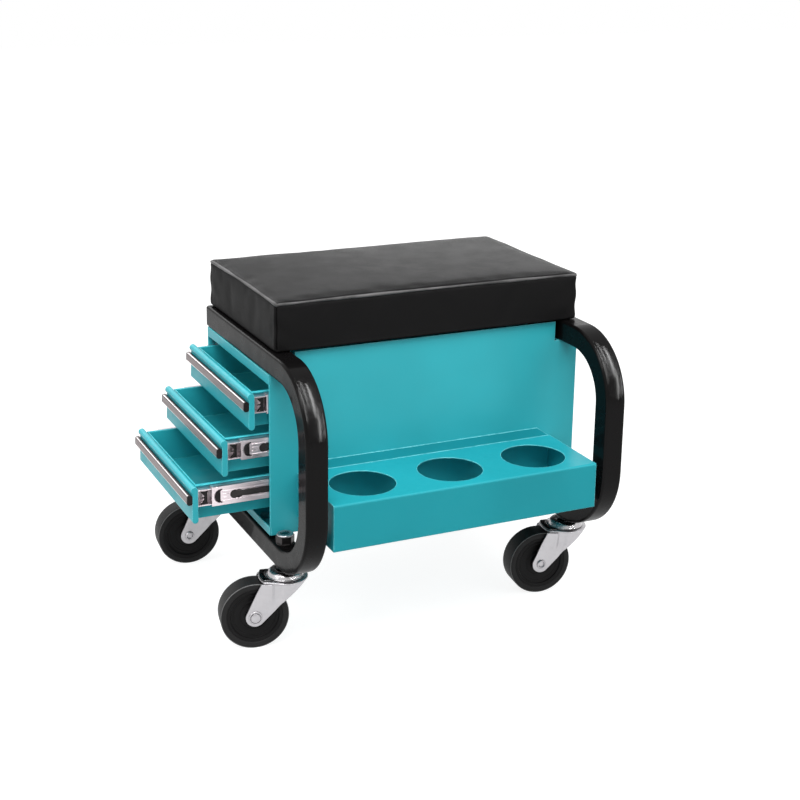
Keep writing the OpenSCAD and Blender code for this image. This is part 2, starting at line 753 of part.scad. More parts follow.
// Axle bolt: round head on the outer side, nut on the other
module axle(i) color(zinc) at_swivel(i) translate([trail, 0, wheel_r]) rotate([90, 0, 0]) {
    reach = leg_out + axle_head_t;
    translate([0, 0, -reach]) cylinder(r = axle_r, h = 2 * reach);
    for (side = [-1, 1]) mirror([0, 0, side < 0 ? 1 : 0]) translate([0, 0, leg_out]) rotate_extrude()
        polygon([
            [0, 0], [axle_head_r, 0], [axle_head_r, axle_head_t / 2], [axle_head_r - 1.2, axle_head_t],
            [0, axle_head_t]
        ]);
}

// Wheel core: rim, thin web and hub, with a bore for the axle
module wheel(i) color(gloss_black) at_swivel(i) translate([trail, 0, wheel_r]) rotate([90, 0, 0])
    rotate_extrude($fn = 96) {
        bore = axle_r + run_fit;
        rim_w = wheel_w - 2 * rim_inset;
        half = [
            [bore, hub_w / 2], [hub_r, hub_w / 2], [hub_r + 2, web_t / 2], [core_r - rim_t, web_t / 2],
            [core_r - rim_t + 1, rim_w / 2], [core_r, rim_w / 2]
        ];
        n = len(half) - 1;
        polygon(concat([for (p = half) [p.x, -p.y]], [for (k = [n:-1:0]) half[k]]));
    }

// Tyre: ring on the core with rounded shoulders
module tyre(i) color(rubber) at_swivel(i) translate([trail, 0, wheel_r]) rotate([90, 0, 0])
    rotate_extrude($fn = 96) {
        half_w = wheel_w / 2;
        arc = [
            for (a = [0:15:90]) [
                wheel_r - shoulder_r + shoulder_r * cos(a), half_w - shoulder_r + shoulder_r * sin(a)
            ]
        ];
        n = len(arc) - 1;
        polygon(concat(
            [[core_r, -half_w]], [for (k = [n:-1:0]) [arc[k].x, -arc[k].y]], arc, [[core_r, half_w]]
        ));
    }

module fork_fl() fork(0);
module fork_fr() fork(1);
module fork_rl() fork(2);
module fork_rr() fork(3);
module axle_fl() axle(0);
module axle_fr() axle(1);
module axle_rl() axle(2);
module axle_rr() axle(3);
module wheel_fl() wheel(0);
module wheel_fr() wheel(1);
module wheel_rl() wheel(2);
module wheel_rr() wheel(3);
module tyre_fl() tyre(0);
module tyre_fr() tyre(1);
module tyre_rl() tyre(2);
module tyre_rr() tyre(3);

at_origin() seat_cushion();
at_origin() seat_board();
at_origin() seat_bolts();
at_origin() hoop_left();
at_origin() hoop_right();
at_origin() hoop_end_plugs();
at_origin() front_panel();
at_origin() back_panel();
at_origin() end_panel();
at_origin() floor_panel();
at_origin() top_rail();
at_origin() floor_spacers();
at_origin() floor_bolts();
at_origin() can_tray();
at_origin() tray_floor();
at_origin() drawer_1_box();
at_origin() drawer_2_box();
at_origin() drawer_3_box();
at_origin() drawer_1_front();
at_origin() drawer_2_front();
at_origin() drawer_3_front();
at_origin() drawer_1_handle();
at_origin() drawer_2_handle();
at_origin() drawer_3_handle();
at_origin() drawer_1_caps();
at_origin() drawer_2_caps();
at_origin() drawer_3_caps();
at_origin() slide_1_outer();
at_origin() slide_2_outer();
at_origin() slide_3_outer();
at_origin() slide_1_middle();
at_origin() slide_2_middle();
at_origin() slide_3_middle();
at_origin() slide_1_inner();
at_origin() slide_2_inner();
at_origin() slide_3_inner();
at_origin() caster_stems();
at_origin() caster_nuts();
at_origin() swivel_domes();
at_origin() swivel_balls();
at_origin() fork_fl();
at_origin() fork_fr();
at_origin() fork_rl();
at_origin() fork_rr();
at_origin() axle_fl();
at_origin() axle_fr();
at_origin() axle_rl();
at_origin() axle_rr();
at_origin() wheel_fl();
at_origin() wheel_fr();
at_origin() wheel_rl();
at_origin() wheel_rr();
at_origin() tyre_fl();
at_origin() tyre_fr();
at_origin() tyre_rl();
at_origin() tyre_rr();
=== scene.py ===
"""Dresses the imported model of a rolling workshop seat.

The seat has a sewn vinyl cushion on two bent tubes, a sheet steel cabinet with three drawers, a
tray for cans and four swivel casters. Lengths are in metres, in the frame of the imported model.
"""

import json
import logging
import math
from dataclasses import dataclass, field
from enum import Enum
from typing import Sequence

import bpy
from mathutils import Matrix, Vector, noise


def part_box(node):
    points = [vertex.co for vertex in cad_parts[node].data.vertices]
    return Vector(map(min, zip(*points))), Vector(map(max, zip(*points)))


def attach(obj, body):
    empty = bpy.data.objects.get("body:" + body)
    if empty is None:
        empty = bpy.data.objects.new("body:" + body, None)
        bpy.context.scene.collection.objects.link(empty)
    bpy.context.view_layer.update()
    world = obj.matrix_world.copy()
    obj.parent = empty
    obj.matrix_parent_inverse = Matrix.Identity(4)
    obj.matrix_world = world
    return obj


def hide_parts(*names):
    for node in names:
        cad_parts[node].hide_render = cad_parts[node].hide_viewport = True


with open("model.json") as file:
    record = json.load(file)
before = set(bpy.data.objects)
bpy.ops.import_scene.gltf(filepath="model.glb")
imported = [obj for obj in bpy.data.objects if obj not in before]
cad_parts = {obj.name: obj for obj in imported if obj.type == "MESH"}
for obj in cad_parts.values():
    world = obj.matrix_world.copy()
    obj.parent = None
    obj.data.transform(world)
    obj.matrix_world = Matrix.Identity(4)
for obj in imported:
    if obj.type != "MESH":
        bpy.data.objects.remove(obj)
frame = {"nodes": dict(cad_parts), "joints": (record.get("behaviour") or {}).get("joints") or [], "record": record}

log = logging.getLogger("workshop_seat")
MM = 0.001
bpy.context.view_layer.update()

PANEL_LOW, PANEL_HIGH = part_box("front_panel")
CABINET = Vector(((PANEL_LOW.x + PANEL_HIGH.x) / 2, PANEL_LOW.y, 0.0))

Piece = bpy.types.Object
Socket = bpy.types.NodeSocket
Colour = tuple[float, float, float]
Outline = Sequence[tuple[float, float]]
Points = list[tuple[float, float]]
Inputs = dict[str | int, object]

UPRIGHT = Matrix.Rotation(math.pi / 2, 4, "X")


def at(x: float, y: float, z: float) -> Vector:
    """Gives the point at x, y, z in millimetres from the cabinet's middle, its front and the floor."""
    return CABINET + Vector((x, y, z)) * MM


# Working on one object, as by hand


def deselect() -> None:
    """Leaves edit mode and deselects every object."""
    if bpy.context.object and bpy.context.object.mode != "OBJECT":
        bpy.ops.object.mode_set(mode="OBJECT")
    bpy.ops.object.select_all(action="DESELECT")


def activate(piece: Piece) -> None:
    """Makes a piece the only selected object.

    Args:
        piece: the object to work on.
    """
    deselect()
    piece.select_set(True)
    bpy.context.view_layer.objects.active = piece


class EditMode:
    """Puts a piece in edit mode for a while."""

    def __init__(self, piece: Piece) -> None:
        """Keeps the piece to edit."""
        self.piece = piece

    def __enter__(self) -> "EditMode":
        """Enters edit mode with nothing selected.

        Returns:
            This helper.
        """
        activate(self.piece)
        bpy.ops.object.mode_set(mode="EDIT")
        bpy.ops.mesh.select_mode(type="VERT")
        bpy.ops.mesh.select_all(action="DESELECT")
        return self

    def __exit__(self, *failure: object) -> None:
        """Returns to object mode."""
        bpy.ops.object.mode_set(mode="OBJECT")

    def everything(self) -> None:
        """Selects the whole mesh."""
        bpy.ops.mesh.select_all(action="SELECT")


def apply_modifier(piece: Piece, kind: str, **settings: object) -> None:
    """Adds a modifier to a piece and applies it.

    Args:
        piece: the object.
        kind: the modifier's type.
        settings: values for its own settings.
    """
    activate(piece)
    modifier = piece.modifiers.new(kind.title(), kind)
    for key, value in settings.items():
        setattr(modifier, key, value)
    bpy.ops.object.modifier_apply(modifier=modifier.name)


def round_edges(piece: Piece, width: float, segments: int = 3, angle: float = 40.0) -> None:
    """Rounds a piece's sharp edges.

    Args:
        piece: the object.
        width: how far the rounding reaches, in metres.
        segments: number of steps across it.
        angle: edges sharper than this many degrees are rounded.
    """
    apply_modifier(
        piece, "BEVEL", width=width, segments=segments, limit_method="ANGLE",
        angle_limit=math.radians(angle), use_clamp_overlap=True,
    )


def smooth(piece: Piece, angle: float = 35.0) -> Piece:
    """Shades a piece smooth.

    Args:
        piece: the object.
        angle: edges sharper than this many degrees stay sharp.

    Returns:
        The same piece.
    """
    activate(piece)
    bpy.ops.object.shade_smooth_by_angle(angle=math.radians(angle))
    return piece


def settle(piece: Piece) -> None:
    """Moves a piece's place, turn and size into its mesh."""
    activate(piece)
    bpy.ops.object.transform_apply(location=True, rotation=True, scale=True)


def outward(piece: Piece) -> None:
    """Merges doubled vertices and points every face outwards.

    Args:
        piece: the object.
    """
    with EditMode(piece) as edit:
        edit.everything()
        bpy.ops.mesh.remove_doubles(threshold=1e-6)
        bpy.ops.mesh.normals_make_consistent(inside=False)


def cut_across(piece: Piece, origin: Vector, cuts: Sequence[Sequence[float]]) -> None:
    """Adds edges round a piece, across each axis in turn.

    Args:
        piece: the object to cut.
        origin: where the distances start.
        cuts: distances along X, along Y and along Z, in millimetres.
    """
    with EditMode(piece) as edit:
        for axis, places in enumerate(cuts):
            normal = Vector([float(k == axis) for k in range(3)])
            for place in places:
                edit.everything()
                bpy.ops.mesh.bisect(plane_co=origin + normal * place * MM, plane_no=normal)


def copy_to(piece: Piece, name: str, place: Matrix) -> Piece:
    """Copies a piece, with a mesh of its own.

    Args:
        piece: the object to copy.
        name: the copy's name.
        place: the transform that moves the copy's mesh.

    Returns:
        The copy.
    """
    twin = piece.copy()
    twin.data = piece.data.copy()
    twin.name = name
    twin.data.name = name
    bpy.context.scene.collection.objects.link(twin)
    twin.data.transform(place)
    if place.determinant() < 0:
        twin.data.flip_normals()
    return twin


def join(name: str, pieces: Sequence[Piece]) -> Piece:
    """Joins pieces into one.

    Args:
        name: the result's name.
        pieces: the objects, which are used up.

    Returns:
        The joined piece.
    """
    deselect()
    for piece in pieces:
        piece.select_set(True)
    bpy.context.view_layer.objects.active = pieces[0]
    bpy.ops.object.join()
    pieces[0].name = name
    pieces[0].data.name = name
    return pieces[0]


def remove(piece: Piece) -> None:
    """Deletes a helper object."""
    bpy.data.objects.remove(piece, do_unlink=True)


def block(name: str, low: Vector, high: Vector) -> Piece:
    """Adds a box as the start of a piece, with its place in its mesh.

    Args:
        name: the object's name.
        low: the lower corner, in metres.
        high: the upper corner, in metres.

    Returns:
        The box.
    """
    deselect()
    bpy.ops.mesh.primitive_cube_add(size=1.0, location=(low + high) / 2)
    piece = bpy.context.object
    piece.name = name
    piece.scale = high - low
    settle(piece)
    return piece


def turned(name: str, profile: Outline, steps: int = 64) -> Piece:
    """Turns a profile about the Z axis.

    Args:
        name: the object's name.
        profile: radius and height of each corner of the closed outline, in millimetres.
        steps: number of steps round the axis.

    Returns:
        The turned piece, about the origin.
    """
    deselect()
    bpy.ops.mesh.primitive_plane_add(size=MM)
    piece = bpy.context.object
    piece.name = name
    points = [Vector((r, 0.0, h)) * MM for r, h in profile]
    with EditMode(piece) as edit:
        edit.everything()
        bpy.ops.mesh.merge(type="CENTER")
        bpy.ops.transform.translate(value=points[0])
        for before, after in zip(points, points[1:] + points[:1]):
            bpy.ops.mesh.extrude_region_move(TRANSFORM_OT_translate={"value": after - before})
        edit.everything()
        bpy.ops.mesh.remove_doubles(threshold=1e-7)
        edit.everything()
        bpy.ops.mesh.spin(steps=steps, angle=math.tau, center=(0, 0, 0), axis=(0, 0, 1))
    outward(piece)
    return piece


def arc(cx: float, cy: float, radius: float, start: float, end: float, steps: int) -> Points:
    """Gives points on an arc about cx, cy, from one angle in degrees to another."""
    angles = [math.radians(start + (end - start) * k / steps) for k in range(steps + 1)]
    return [(cx + radius * math.cos(a), cy + radius * math.sin(a)) for a in angles]


def plate(name: str, outline: Outline, thickness: float) -> Piece:
    """Makes a flat plate, standing on the XY plane.

    Args:
        name: the object's name.
        outline: corners in millimetres, counter-clockwise.
        thickness: the plate's thickness in millimetres.

    Returns:
        The plate.
    """
    deselect()
    bpy.ops.mesh.primitive_circle_add(vertices=len(outline), radius=MM, fill_type="NGON")
    piece = bpy.context.object
    piece.name = name
    for vertex, (x, y) in zip(piece.data.vertices, outline):
        vertex.co = Vector((x, y, 0.0)) * MM
    with EditMode(piece) as edit:
        edit.everything()
        bpy.ops.mesh.extrude_region_move(TRANSFORM_OT_translate={"value": (0, 0, thickness * MM)})
    outward(piece)
    return piece


# Finishes


def rgba(colour: Colour, factor: float = 1.0) -> tuple[float, float, float, float]:
    """Gives a colour with its alpha, made lighter or darker by a factor."""
    return tuple(min(1.0, c * factor) for c in colour) + (1.0,)


WHITE = rgba((1.0, 1.0, 1.0))


def feed(tree: bpy.types.NodeTree, socket: Socket, value: object) -> None:
    """Links or sets an input, whichever the value is.

    Args:
        tree: the tree that the input is in.
        socket: the input.
        value: a socket to link or a value to set.
    """
    if isinstance(value, Socket):
        tree.links.new(value, socket)
    else:
        socket.default_value = value


def add_node(
    tree: bpy.types.NodeTree, kind: str, output: str | int, inputs: Inputs, **settings: object,
) -> Socket:
    """Adds a node to a tree.

    Args:
        tree: the tree.
        kind: the node's type, without ShaderNode.
        output: the output to give back.
        inputs: values or sockets for its inputs.
        settings: values for its own settings.

    Returns:
        The output's socket.
    """
    node = tree.nodes.new(f"ShaderNode{kind}")
    for key, value in settings.items():
        setattr(node, key, value)
    for key, value in inputs.items():
        feed(tree, node.inputs[key], value)
    return node.outputs[output]


def seen_directly(tree: bpy.types.NodeTree) -> Socket:
    """Tells the rays that are seen from those that only bring light.

    Args:
        tree: the tree to add to.

    Returns:
        A socket: 1 for camera, glossy and transmission rays and 0 for others.
    """
    path = tree.nodes.new("ShaderNodeLightPath").outputs
    clamped = {"operation": "ADD", "use_clamp": True}
    shown = add_node(tree, "Math", 0, {0: path["Is Camera Ray"], 1: path["Is Glossy Ray"]}, **clamped)
    return add_node(tree, "Math", 0, {0: shown, 1: path["Is Transmission Ray"]}, **clamped)


class Weave:
    """The nodes of one material, with short calls that add to them."""

    def __init__(self, name: str) -> None:
        """Starts a material with a Principled shader.

        Args:
            name: the material's name.
        """
        self.material = bpy.data.materials.new(name)
        self.material.use_nodes = True
        self.tree = self.material.node_tree
        self.tree.nodes.clear()
        self.output = self.tree.nodes.new("ShaderNodeOutputMaterial")
        self.shader = self.tree.nodes.new("ShaderNodeBsdfPrincipled")
        self.tree.links.new(self.shader.outputs["BSDF"], self.output.inputs["Surface"])
        place = self.tree.nodes.new("ShaderNodeTexCoord")
        self.place, self.facing = place.outputs["Object"], place.outputs["Normal"]

    def set(self, **values: object) -> None:
        """Sets or links sockets of the shader, with spaces in their names written as underscores."""
        for key, value in values.items():
            feed(self.tree, self.shader.inputs[key.replace("_", " ")], value)

    def add(self, kind: str, output: str | int, inputs: Inputs, **settings: object) -> Socket:
        """Adds a node and gives one of its outputs."""
        return add_node(self.tree, kind, output, inputs, **settings)

    def noise(
        self, scale: float, detail: float = 3.0, rough: float = 0.5, along: Colour = (1.0, 1.0, 1.0),
    ) -> Socket:
        """Adds a noise pattern.

        Args:
            scale: how many features there are to a metre.
            detail: number of finer layers.
            rough: weight of the finer layers.
            along: stretch of the pattern along X, Y and Z.

        Returns:
            The pattern's value.
        """
        place = self.add("Mapping", "Vector", {"Scale": along, "Vector": self.place})
        inputs = {"Scale": scale, "Detail": detail, "Roughness": rough, "Vector": place}
        return self.add("TexNoise", "Fac", inputs)

    def cells(self, scale: float) -> Socket:
        """Adds the distance to the edge of grain cells, with so many cells to a metre."""
        inputs = {"Scale": scale, "Randomness": 1.0, "Vector": self.place}
        return self.add("TexVoronoi", "Distance", inputs, feature="DISTANCE_TO_EDGE")

    def part(self, vector: Socket, letter: str) -> Socket:
        """Gives the X, Y or Z of a vector."""
        return self.add("SeparateXYZ", letter, {"Vector": vector})

    def span(
        self, value: object, low: float, high: float, to_low: float = 0.0, to_high: float = 1.0,
    ) -> Socket:
        """Maps a value from one range to another, smoothly and clamped."""
        inputs = {"Value": value, "From Min": low, "From Max": high, "To Min": to_low, "To Max": to_high}
        return self.add("MapRange", "Result", inputs, interpolation_type="SMOOTHSTEP")

    def sum(self, kind: str, first: object, second: object = 0.0) -> Socket:
        """Adds a Math node of a kind on one or two values."""
        return self.add("Math", 0, {0: first, 1: second}, operation=kind)

    def mix(self, share: object, first: object, second: object) -> Socket:
        """Mixes two colours by a share from 0 to 1."""
        return self.add("Mix", 2, {"Factor": share, 6: first, 7: second}, data_type="RGBA")

    def tint(self, share: object, colour: Colour, low: float, high: float) -> Socket:
        """Mixes a darker and a lighter tone of a colour."""
        return self.mix(share, rgba(colour, low), rgba(colour, high))

    def soft_edges(self, radius: float) -> Socket:
        """Gives the normal with the mesh's edges rounded by a radius."""
        return self.add("Bevel", "Normal", {"Radius": radius}, samples=4)

    def edge_mask(self, radius: float) -> Socket:
        """Marks the sharp edges.

        Args:
            radius: how far the mark reaches from an edge, in metres.

        Returns:
            A socket: 1 at sharp edges and 0 elsewhere.
        """
        flat = self.tree.nodes.new("ShaderNodeNewGeometry").outputs["True Normal"]
        inputs = {0: self.soft_edges(radius), 1: flat}
        return self.span(self.add("VectorMath", "Value", inputs, operation="DOT_PRODUCT"), 0.995, 0.86)

    def relief(self, height: Socket, depth: float, normal: Socket | None = None) -> Socket:
        """Raises a pattern by bump, to a depth in metres, and gives the new normal."""
        inputs = {"Strength": 1.0, "Distance": depth, "Height": height}
        return self.add("Bump", "Normal", inputs if normal is None else {**inputs, "Normal": normal})


class Recipe:
    """What every finish shares."""

    def make(self, name: str) -> bpy.types.Material:
        """Builds the material.

        Args:
            name: the material's name.

        Returns:
            The material.
        """
        nodes = Weave(name)
        self.lay(nodes)
        return nodes.material

    def lay(self, nodes: Weave) -> None:
        """Lays the finish's nodes."""
        raise NotImplementedError


@dataclass(frozen=True)
class Coat(Recipe):
    """Powder coat on sheet steel or tube, with a lighter colour painted along its edges as a highlight."""

    colour: Colour
    roughness: float
    coat: float
    peel: float = 0.000012
    edge: float = 0.0008
    edge_colour: Colour = (0.1, 0.1, 0.1)
    ripple: float = 0.0
    specular: float = 0.4
    coat_roughness: float = 0.12

    def lay(self, nodes: Weave) -> None:
        """Lays clouds, a painted edge highlight broken up by noise, fine peel and a slow ripple.

        Args:
            nodes: the material's nodes.
        """
        tone = nodes.tint(nodes.span(nodes.noise(9.0, 2.0), 0.3, 0.7), self.colour, 0.95, 1.05)
        # The edge colour, mixed in at sharp edges and broken up by noise, is a painted highlight along folds and
        # rims.
        highlight_breakup = nodes.span(nodes.noise(160.0, 4.0), 0.3, 0.6, 0.4, 1.0)
        edge_highlight_share = nodes.sum("MULTIPLY", nodes.edge_mask(self.edge), highlight_breakup)
        normal = nodes.relief(nodes.noise(1100.0, 2.0), self.peel, nodes.soft_edges(self.edge))
        if self.ripple:
            normal = nodes.relief(nodes.noise(55.0, 2.0), self.ripple, normal)
        low, high = self.roughness * 0.85, self.roughness * 1.15
        nodes.set(
            Base_Color=nodes.mix(edge_highlight_share, tone, rgba(self.edge_colour)),
            Roughness=nodes.span(nodes.noise(70.0, 3.0), 0.25, 0.75, low, high), Normal=normal,
            Coat_Weight=self.coat, Coat_Roughness=self.coat_roughness, Specular_IOR_Level=self.specular,
        )


@dataclass(frozen=True)
class Vinyl(Recipe):
    """Black upholstery vinyl with a fine pebbled grain; its sides get a lighter base tone and less reflection than
    its top, by which way each face points: painted light and shade.
    """

    colour: Colour = (0.0045, 0.0044, 0.0046)
    side_colour: Colour = (0.0085, 0.0083, 0.0085)
    roughness: float = 0.42
    specular: tuple[float, float] = (0.02, 0.07)

    def lay(self, nodes: Weave) -> None:
        """Lays the painted tones of top and sides, set by facing, and the grain.

        Args:
            nodes: the material's nodes.
        """
        # Facing up or sideways picks a painted tone and a painted sheen level, standing in for how the light
        # falls.
        top = nodes.span(nodes.part(nodes.facing, "Z"), 0.2, 0.8)
        tone = nodes.tint(nodes.noise(14.0, 3.0), self.colour, 0.85, 1.2)
        grain = nodes.relief(nodes.span(nodes.cells(900.0), 0.0, 0.25), 0.00004)
        low, high = self.roughness - 0.02, self.roughness + 0.03
        nodes.set(
            Base_Color=nodes.mix(top, rgba(self.side_colour), tone),
            Roughness=nodes.span(nodes.noise(40.0, 4.0), 0.25, 0.75, low, high),
            Normal=nodes.relief(nodes.noise(260.0, 4.0), 0.00003, grain),
            Specular_IOR_Level=nodes.span(top, 0.0, 1.0, *self.specular),
            Coat_Weight=0.02, Coat_Roughness=0.2,
        )


@dataclass(frozen=True)
class Metal(Recipe):
    """Bare, plated or brushed metal."""

    colour: Colour
    roughness: float
    streaks: tuple[float, float, float] = (1.0, 1.0, 1.0)
    streak_scale: float = 300.0
    depth: float = 0.000006
    edge: float = 0.0005
    cloud: float = 0.06

    def lay(self, nodes: Weave) -> None:
        """Lays clouds and fine streaks.

        Args:
            nodes: the material's nodes.
        """
        fine = nodes.noise(self.streak_scale, 4.0, 0.6, self.streaks)
        nodes.set(
            Base_Color=nodes.tint(nodes.noise(45.0, 3.0), self.colour, 1.0 - self.cloud, 1.0 + self.cloud),
            Roughness=nodes.span(fine, 0.3, 0.7, self.roughness * 0.8, self.roughness * 1.25),
            Normal=nodes.relief(fine, self.depth, nodes.soft_edges(self.edge)), Metallic=1.0,
        )


@dataclass(frozen=True)
class Moulded(Recipe):
    """Moulded plastic or rubber with a fine texture."""

    colour: Colour
    roughness: float
    grain: float = 700.0
    depth: float = 0.00003
    edge: float = 0.0006
    specular: float = 0.4
    uneven: float = 0.17

    def lay(self, nodes: Weave) -> None:
        """Lays broad tones and the grain.

        Args:
            nodes: the material's nodes.
        """
        grain = nodes.noise(self.grain, 3.0)
        broad = nodes.span(nodes.noise(30.0, 3.0), 0.25, 0.75)
        nodes.set(
            Base_Color=nodes.tint(broad, self.colour, 1 - self.uneven, 1 + self.uneven),
            Roughness=nodes.span(grain, 0.3, 0.7, self.roughness - 0.05, self.roughness + 0.07),
            Normal=nodes.relief(grain, self.depth, nodes.soft_edges(self.edge)),
            Specular_IOR_Level=self.specular,
        )


@dataclass(frozen=True)
class Plywood(Recipe):
    """Bare birch plywood, with its grain along the seat."""

    colour: Colour = (0.55, 0.40, 0.24)
    plies: float = 500.0

    def lay(self, nodes: Weave) -> None:
        """Lays the grain and the edges of the plies.

        Args:
            nodes: the material's nodes.
        """
        grain = nodes.noise(120.0, 5.0, 0.6, (0.06, 1.0, 1.0))
        plies = nodes.sum("FRACT", nodes.sum("MULTIPLY", nodes.part(nodes.place, "Z"), self.plies))
        tone = nodes.tint(nodes.span(grain, 0.3, 0.7), self.colour, 0.7, 1.15)
        nodes.set(
            Base_Color=nodes.mix(nodes.span(plies, 0.4, 0.6, 0.0, 0.25), tone, rgba(self.colour, 0.5)),
            Roughness=0.7, Normal=nodes.relief(grain, 0.0001),
        )


class Finish(Enum):
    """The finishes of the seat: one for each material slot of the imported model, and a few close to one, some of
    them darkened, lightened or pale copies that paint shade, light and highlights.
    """

    black_vinyl = Vinyl()
    plywood = Plywood()
    gloss_black_paint = Coat(
        colour=(0.003, 0.0027, 0.0028), roughness=0.3, coat=0.12, edge=0.0012,
        edge_colour=(0.006, 0.0055, 0.0055), ripple=0.00004, specular=0.03, coat_roughness=0.03,
    )
    teal_paint = Coat(
        colour=(0.028, 0.37, 0.425), roughness=0.4, coat=0.03, edge=0.0013, edge_colour=(0.2, 0.74, 0.8),
        specular=0.25,
    )
    # A darker copy of the teal paint, for the can tray: painted shade.
    teal_tray = Coat(
        colour=(0.013, 0.285, 0.335), roughness=0.4, coat=0.0, edge=0.0014, edge_colour=(0.26, 0.84, 0.9),
        specular=0.15,
    )
    # A lighter copy of the teal paint, for the drawer boxes and the tray floor: painted light in the hollows.
    teal_inside = Coat(
        colour=(0.024, 0.40, 0.46), roughness=0.45, coat=0.0, edge=0.0011, edge_colour=(0.16, 0.80, 0.86),
        specular=0.2,
    )
    black_plastic = Moulded(colour=(0.006, 0.005, 0.005), roughness=0.4, specular=0.2)
    black_rubber = Moulded(colour=(0.015, 0.015, 0.015), roughness=0.7, specular=0.2)
    brushed_aluminium = Metal(
        colour=(0.17, 0.138, 0.138), roughness=0.36, streaks=(1.0, 0.02, 1.0), streak_scale=1500.0,
        depth=0.00001,
    )
    # Bright metal for the strips along the handle bars' edges: a painted highlight.
    polished_edge = Metal(colour=(0.74, 0.70, 0.70), roughness=0.3, streaks=(1.0, 0.05, 1.0))
    bright_zinc = Metal(colour=(0.44, 0.43, 0.445), roughness=0.38, depth=0.000003)
    slide_steel = Metal(
        colour=(0.72, 0.64, 0.67), roughness=0.34, streaks=(0.05, 1.0, 1.0), streak_scale=900.0,
    )
    bright_chrome = Metal(colour=(0.72, 0.72, 0.73), roughness=0.1, cloud=0.03)
    satin_chrome = Metal(colour=(0.50, 0.49, 0.50), roughness=0.24, cloud=0.1)
    # A darkened copy of chrome for the fork hoods and caster stems: painted reflection of the dark tube above, and
    # painted shade.
    dark_chrome = Metal(colour=(0.07, 0.07, 0.072), roughness=0.22, cloud=0.2)
    # A darkened copy of zinc for the caster nuts and the slides' slots: painted shade.
    dark_recess = Metal(colour=(0.05, 0.046, 0.046), roughness=0.4, streaks=(0.03, 1.0, 1.0), cloud=0.5)
    wheel_plastic = Moulded(colour=(0.005, 0.0048, 0.005), roughness=0.42, specular=0.12)
    black_tyre = Moulded(colour=(0.012, 0.0118, 0.012), roughness=0.55, specular=0.18)
    # Pale grey for the cord along the cushion's top edge: a painted highlight.
    rubbed_vinyl = Moulded(colour=(0.055, 0.0535, 0.054), roughness=0.4, specular=0.35, uneven=0.8)
    # Pale grey for the rings on the tyres' shoulders: a painted highlight.
    rubbed_tyre = Moulded(colour=(0.11, 0.11, 0.11), roughness=0.4, specular=0.4)

    @property
    def slot(self) -> str:
        """Finds the material slot that the finish belongs to.

        Returns:
            The slot's name.
        """
        close = {
            "polished_edge": "brushed_aluminium", "slide_steel": "bright_zinc", "dark_recess": "bright_zinc",
            "dark_chrome": "bright_chrome", "satin_chrome": "bright_chrome", "rubbed_tyre": "black_tyre",
            "teal_inside": "teal_paint", "teal_tray": "teal_paint", "rubbed_vinyl": "black_vinyl",
        }
        return close.get(self.name, self.name)


class Wardrobe:
    """Makes each finish once and dresses pieces in it."""

    def __init__(self) -> None:
        """Makes a material for every finish."""
        self.made = {finish.name: finish.value.make(finish.name) for finish in Finish}

    def dress(self, piece: Piece, finish: Finish) -> None:
        """Gives a piece one finish all over."""
        piece.data.materials.clear()
        piece.data.materials.append(self.made[finish.name])

    def dress_cad(self) -> None:
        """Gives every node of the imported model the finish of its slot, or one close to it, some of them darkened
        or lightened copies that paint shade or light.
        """
        # Painted shade: darkened copies for the caster nuts, stems and can tray; painted light: a lighter teal for
        # the drawer boxes and tray floor.
        close = {
            "caster_nuts": Finish.dark_recess, "caster_stems": Finish.dark_chrome,
            "tray_floor": Finish.teal_inside, "can_tray": Finish.teal_tray,
        }
        for number in (1, 2, 3):
            close[f"drawer_{number}_box"] = Finish.teal_inside
            for member in ("outer", "middle", "inner"):
                close[f"slide_{number}_{member}"] = Finish.slide_steel
        for part in frame["record"]["subparts"]:
            finish = close.get(part["node"], Finish[part["material_slot"]])
            self.dress(frame["nodes"][part["node"]], finish)


def keep(piece: Piece, wardrobe: Wardrobe, finish: Finish, body: str, *nodes: str) -> None:
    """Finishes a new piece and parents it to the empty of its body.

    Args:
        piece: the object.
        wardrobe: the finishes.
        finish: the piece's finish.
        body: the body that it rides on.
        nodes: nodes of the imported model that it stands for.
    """
    wardrobe.dress(piece, finish)
    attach(piece, body)
    finish.slot
    if nodes:
        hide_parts(*nodes)
    log.info("%s: %d faces, on %s", piece.name, len(piece.data.polygons), body)


# The studio


@dataclass
class Lamp:
    """One soft lamp, aimed at the seat."""

    name: str
    place: tuple[float, float, float]
    size: tuple[float, float]
    power: float
    aim: tuple[float, float, float] = (0.0, 0.0, 0.2)

    def add(self) -> None:
        """Adds the lamp to the scene."""
        light = bpy.data.lights.new(self.name, "AREA")
        light.shape = "RECTANGLE"
        light.size, light.size_y = self.size
        light.energy = self.power
        lamp = bpy.data.objects.new(self.name, light)
        back = (Vector(self.place) - Vector(self.aim)).normalized()
        side = Vector((0.0, 0.0, 1.0)).cross(back).normalized()
        turn = Matrix((side, back.cross(side), back)).transposed().to_4x4()
        lamp.matrix_world = Matrix.Translation(self.place) @ turn
        bpy.context.scene.collection.objects.link(lamp)


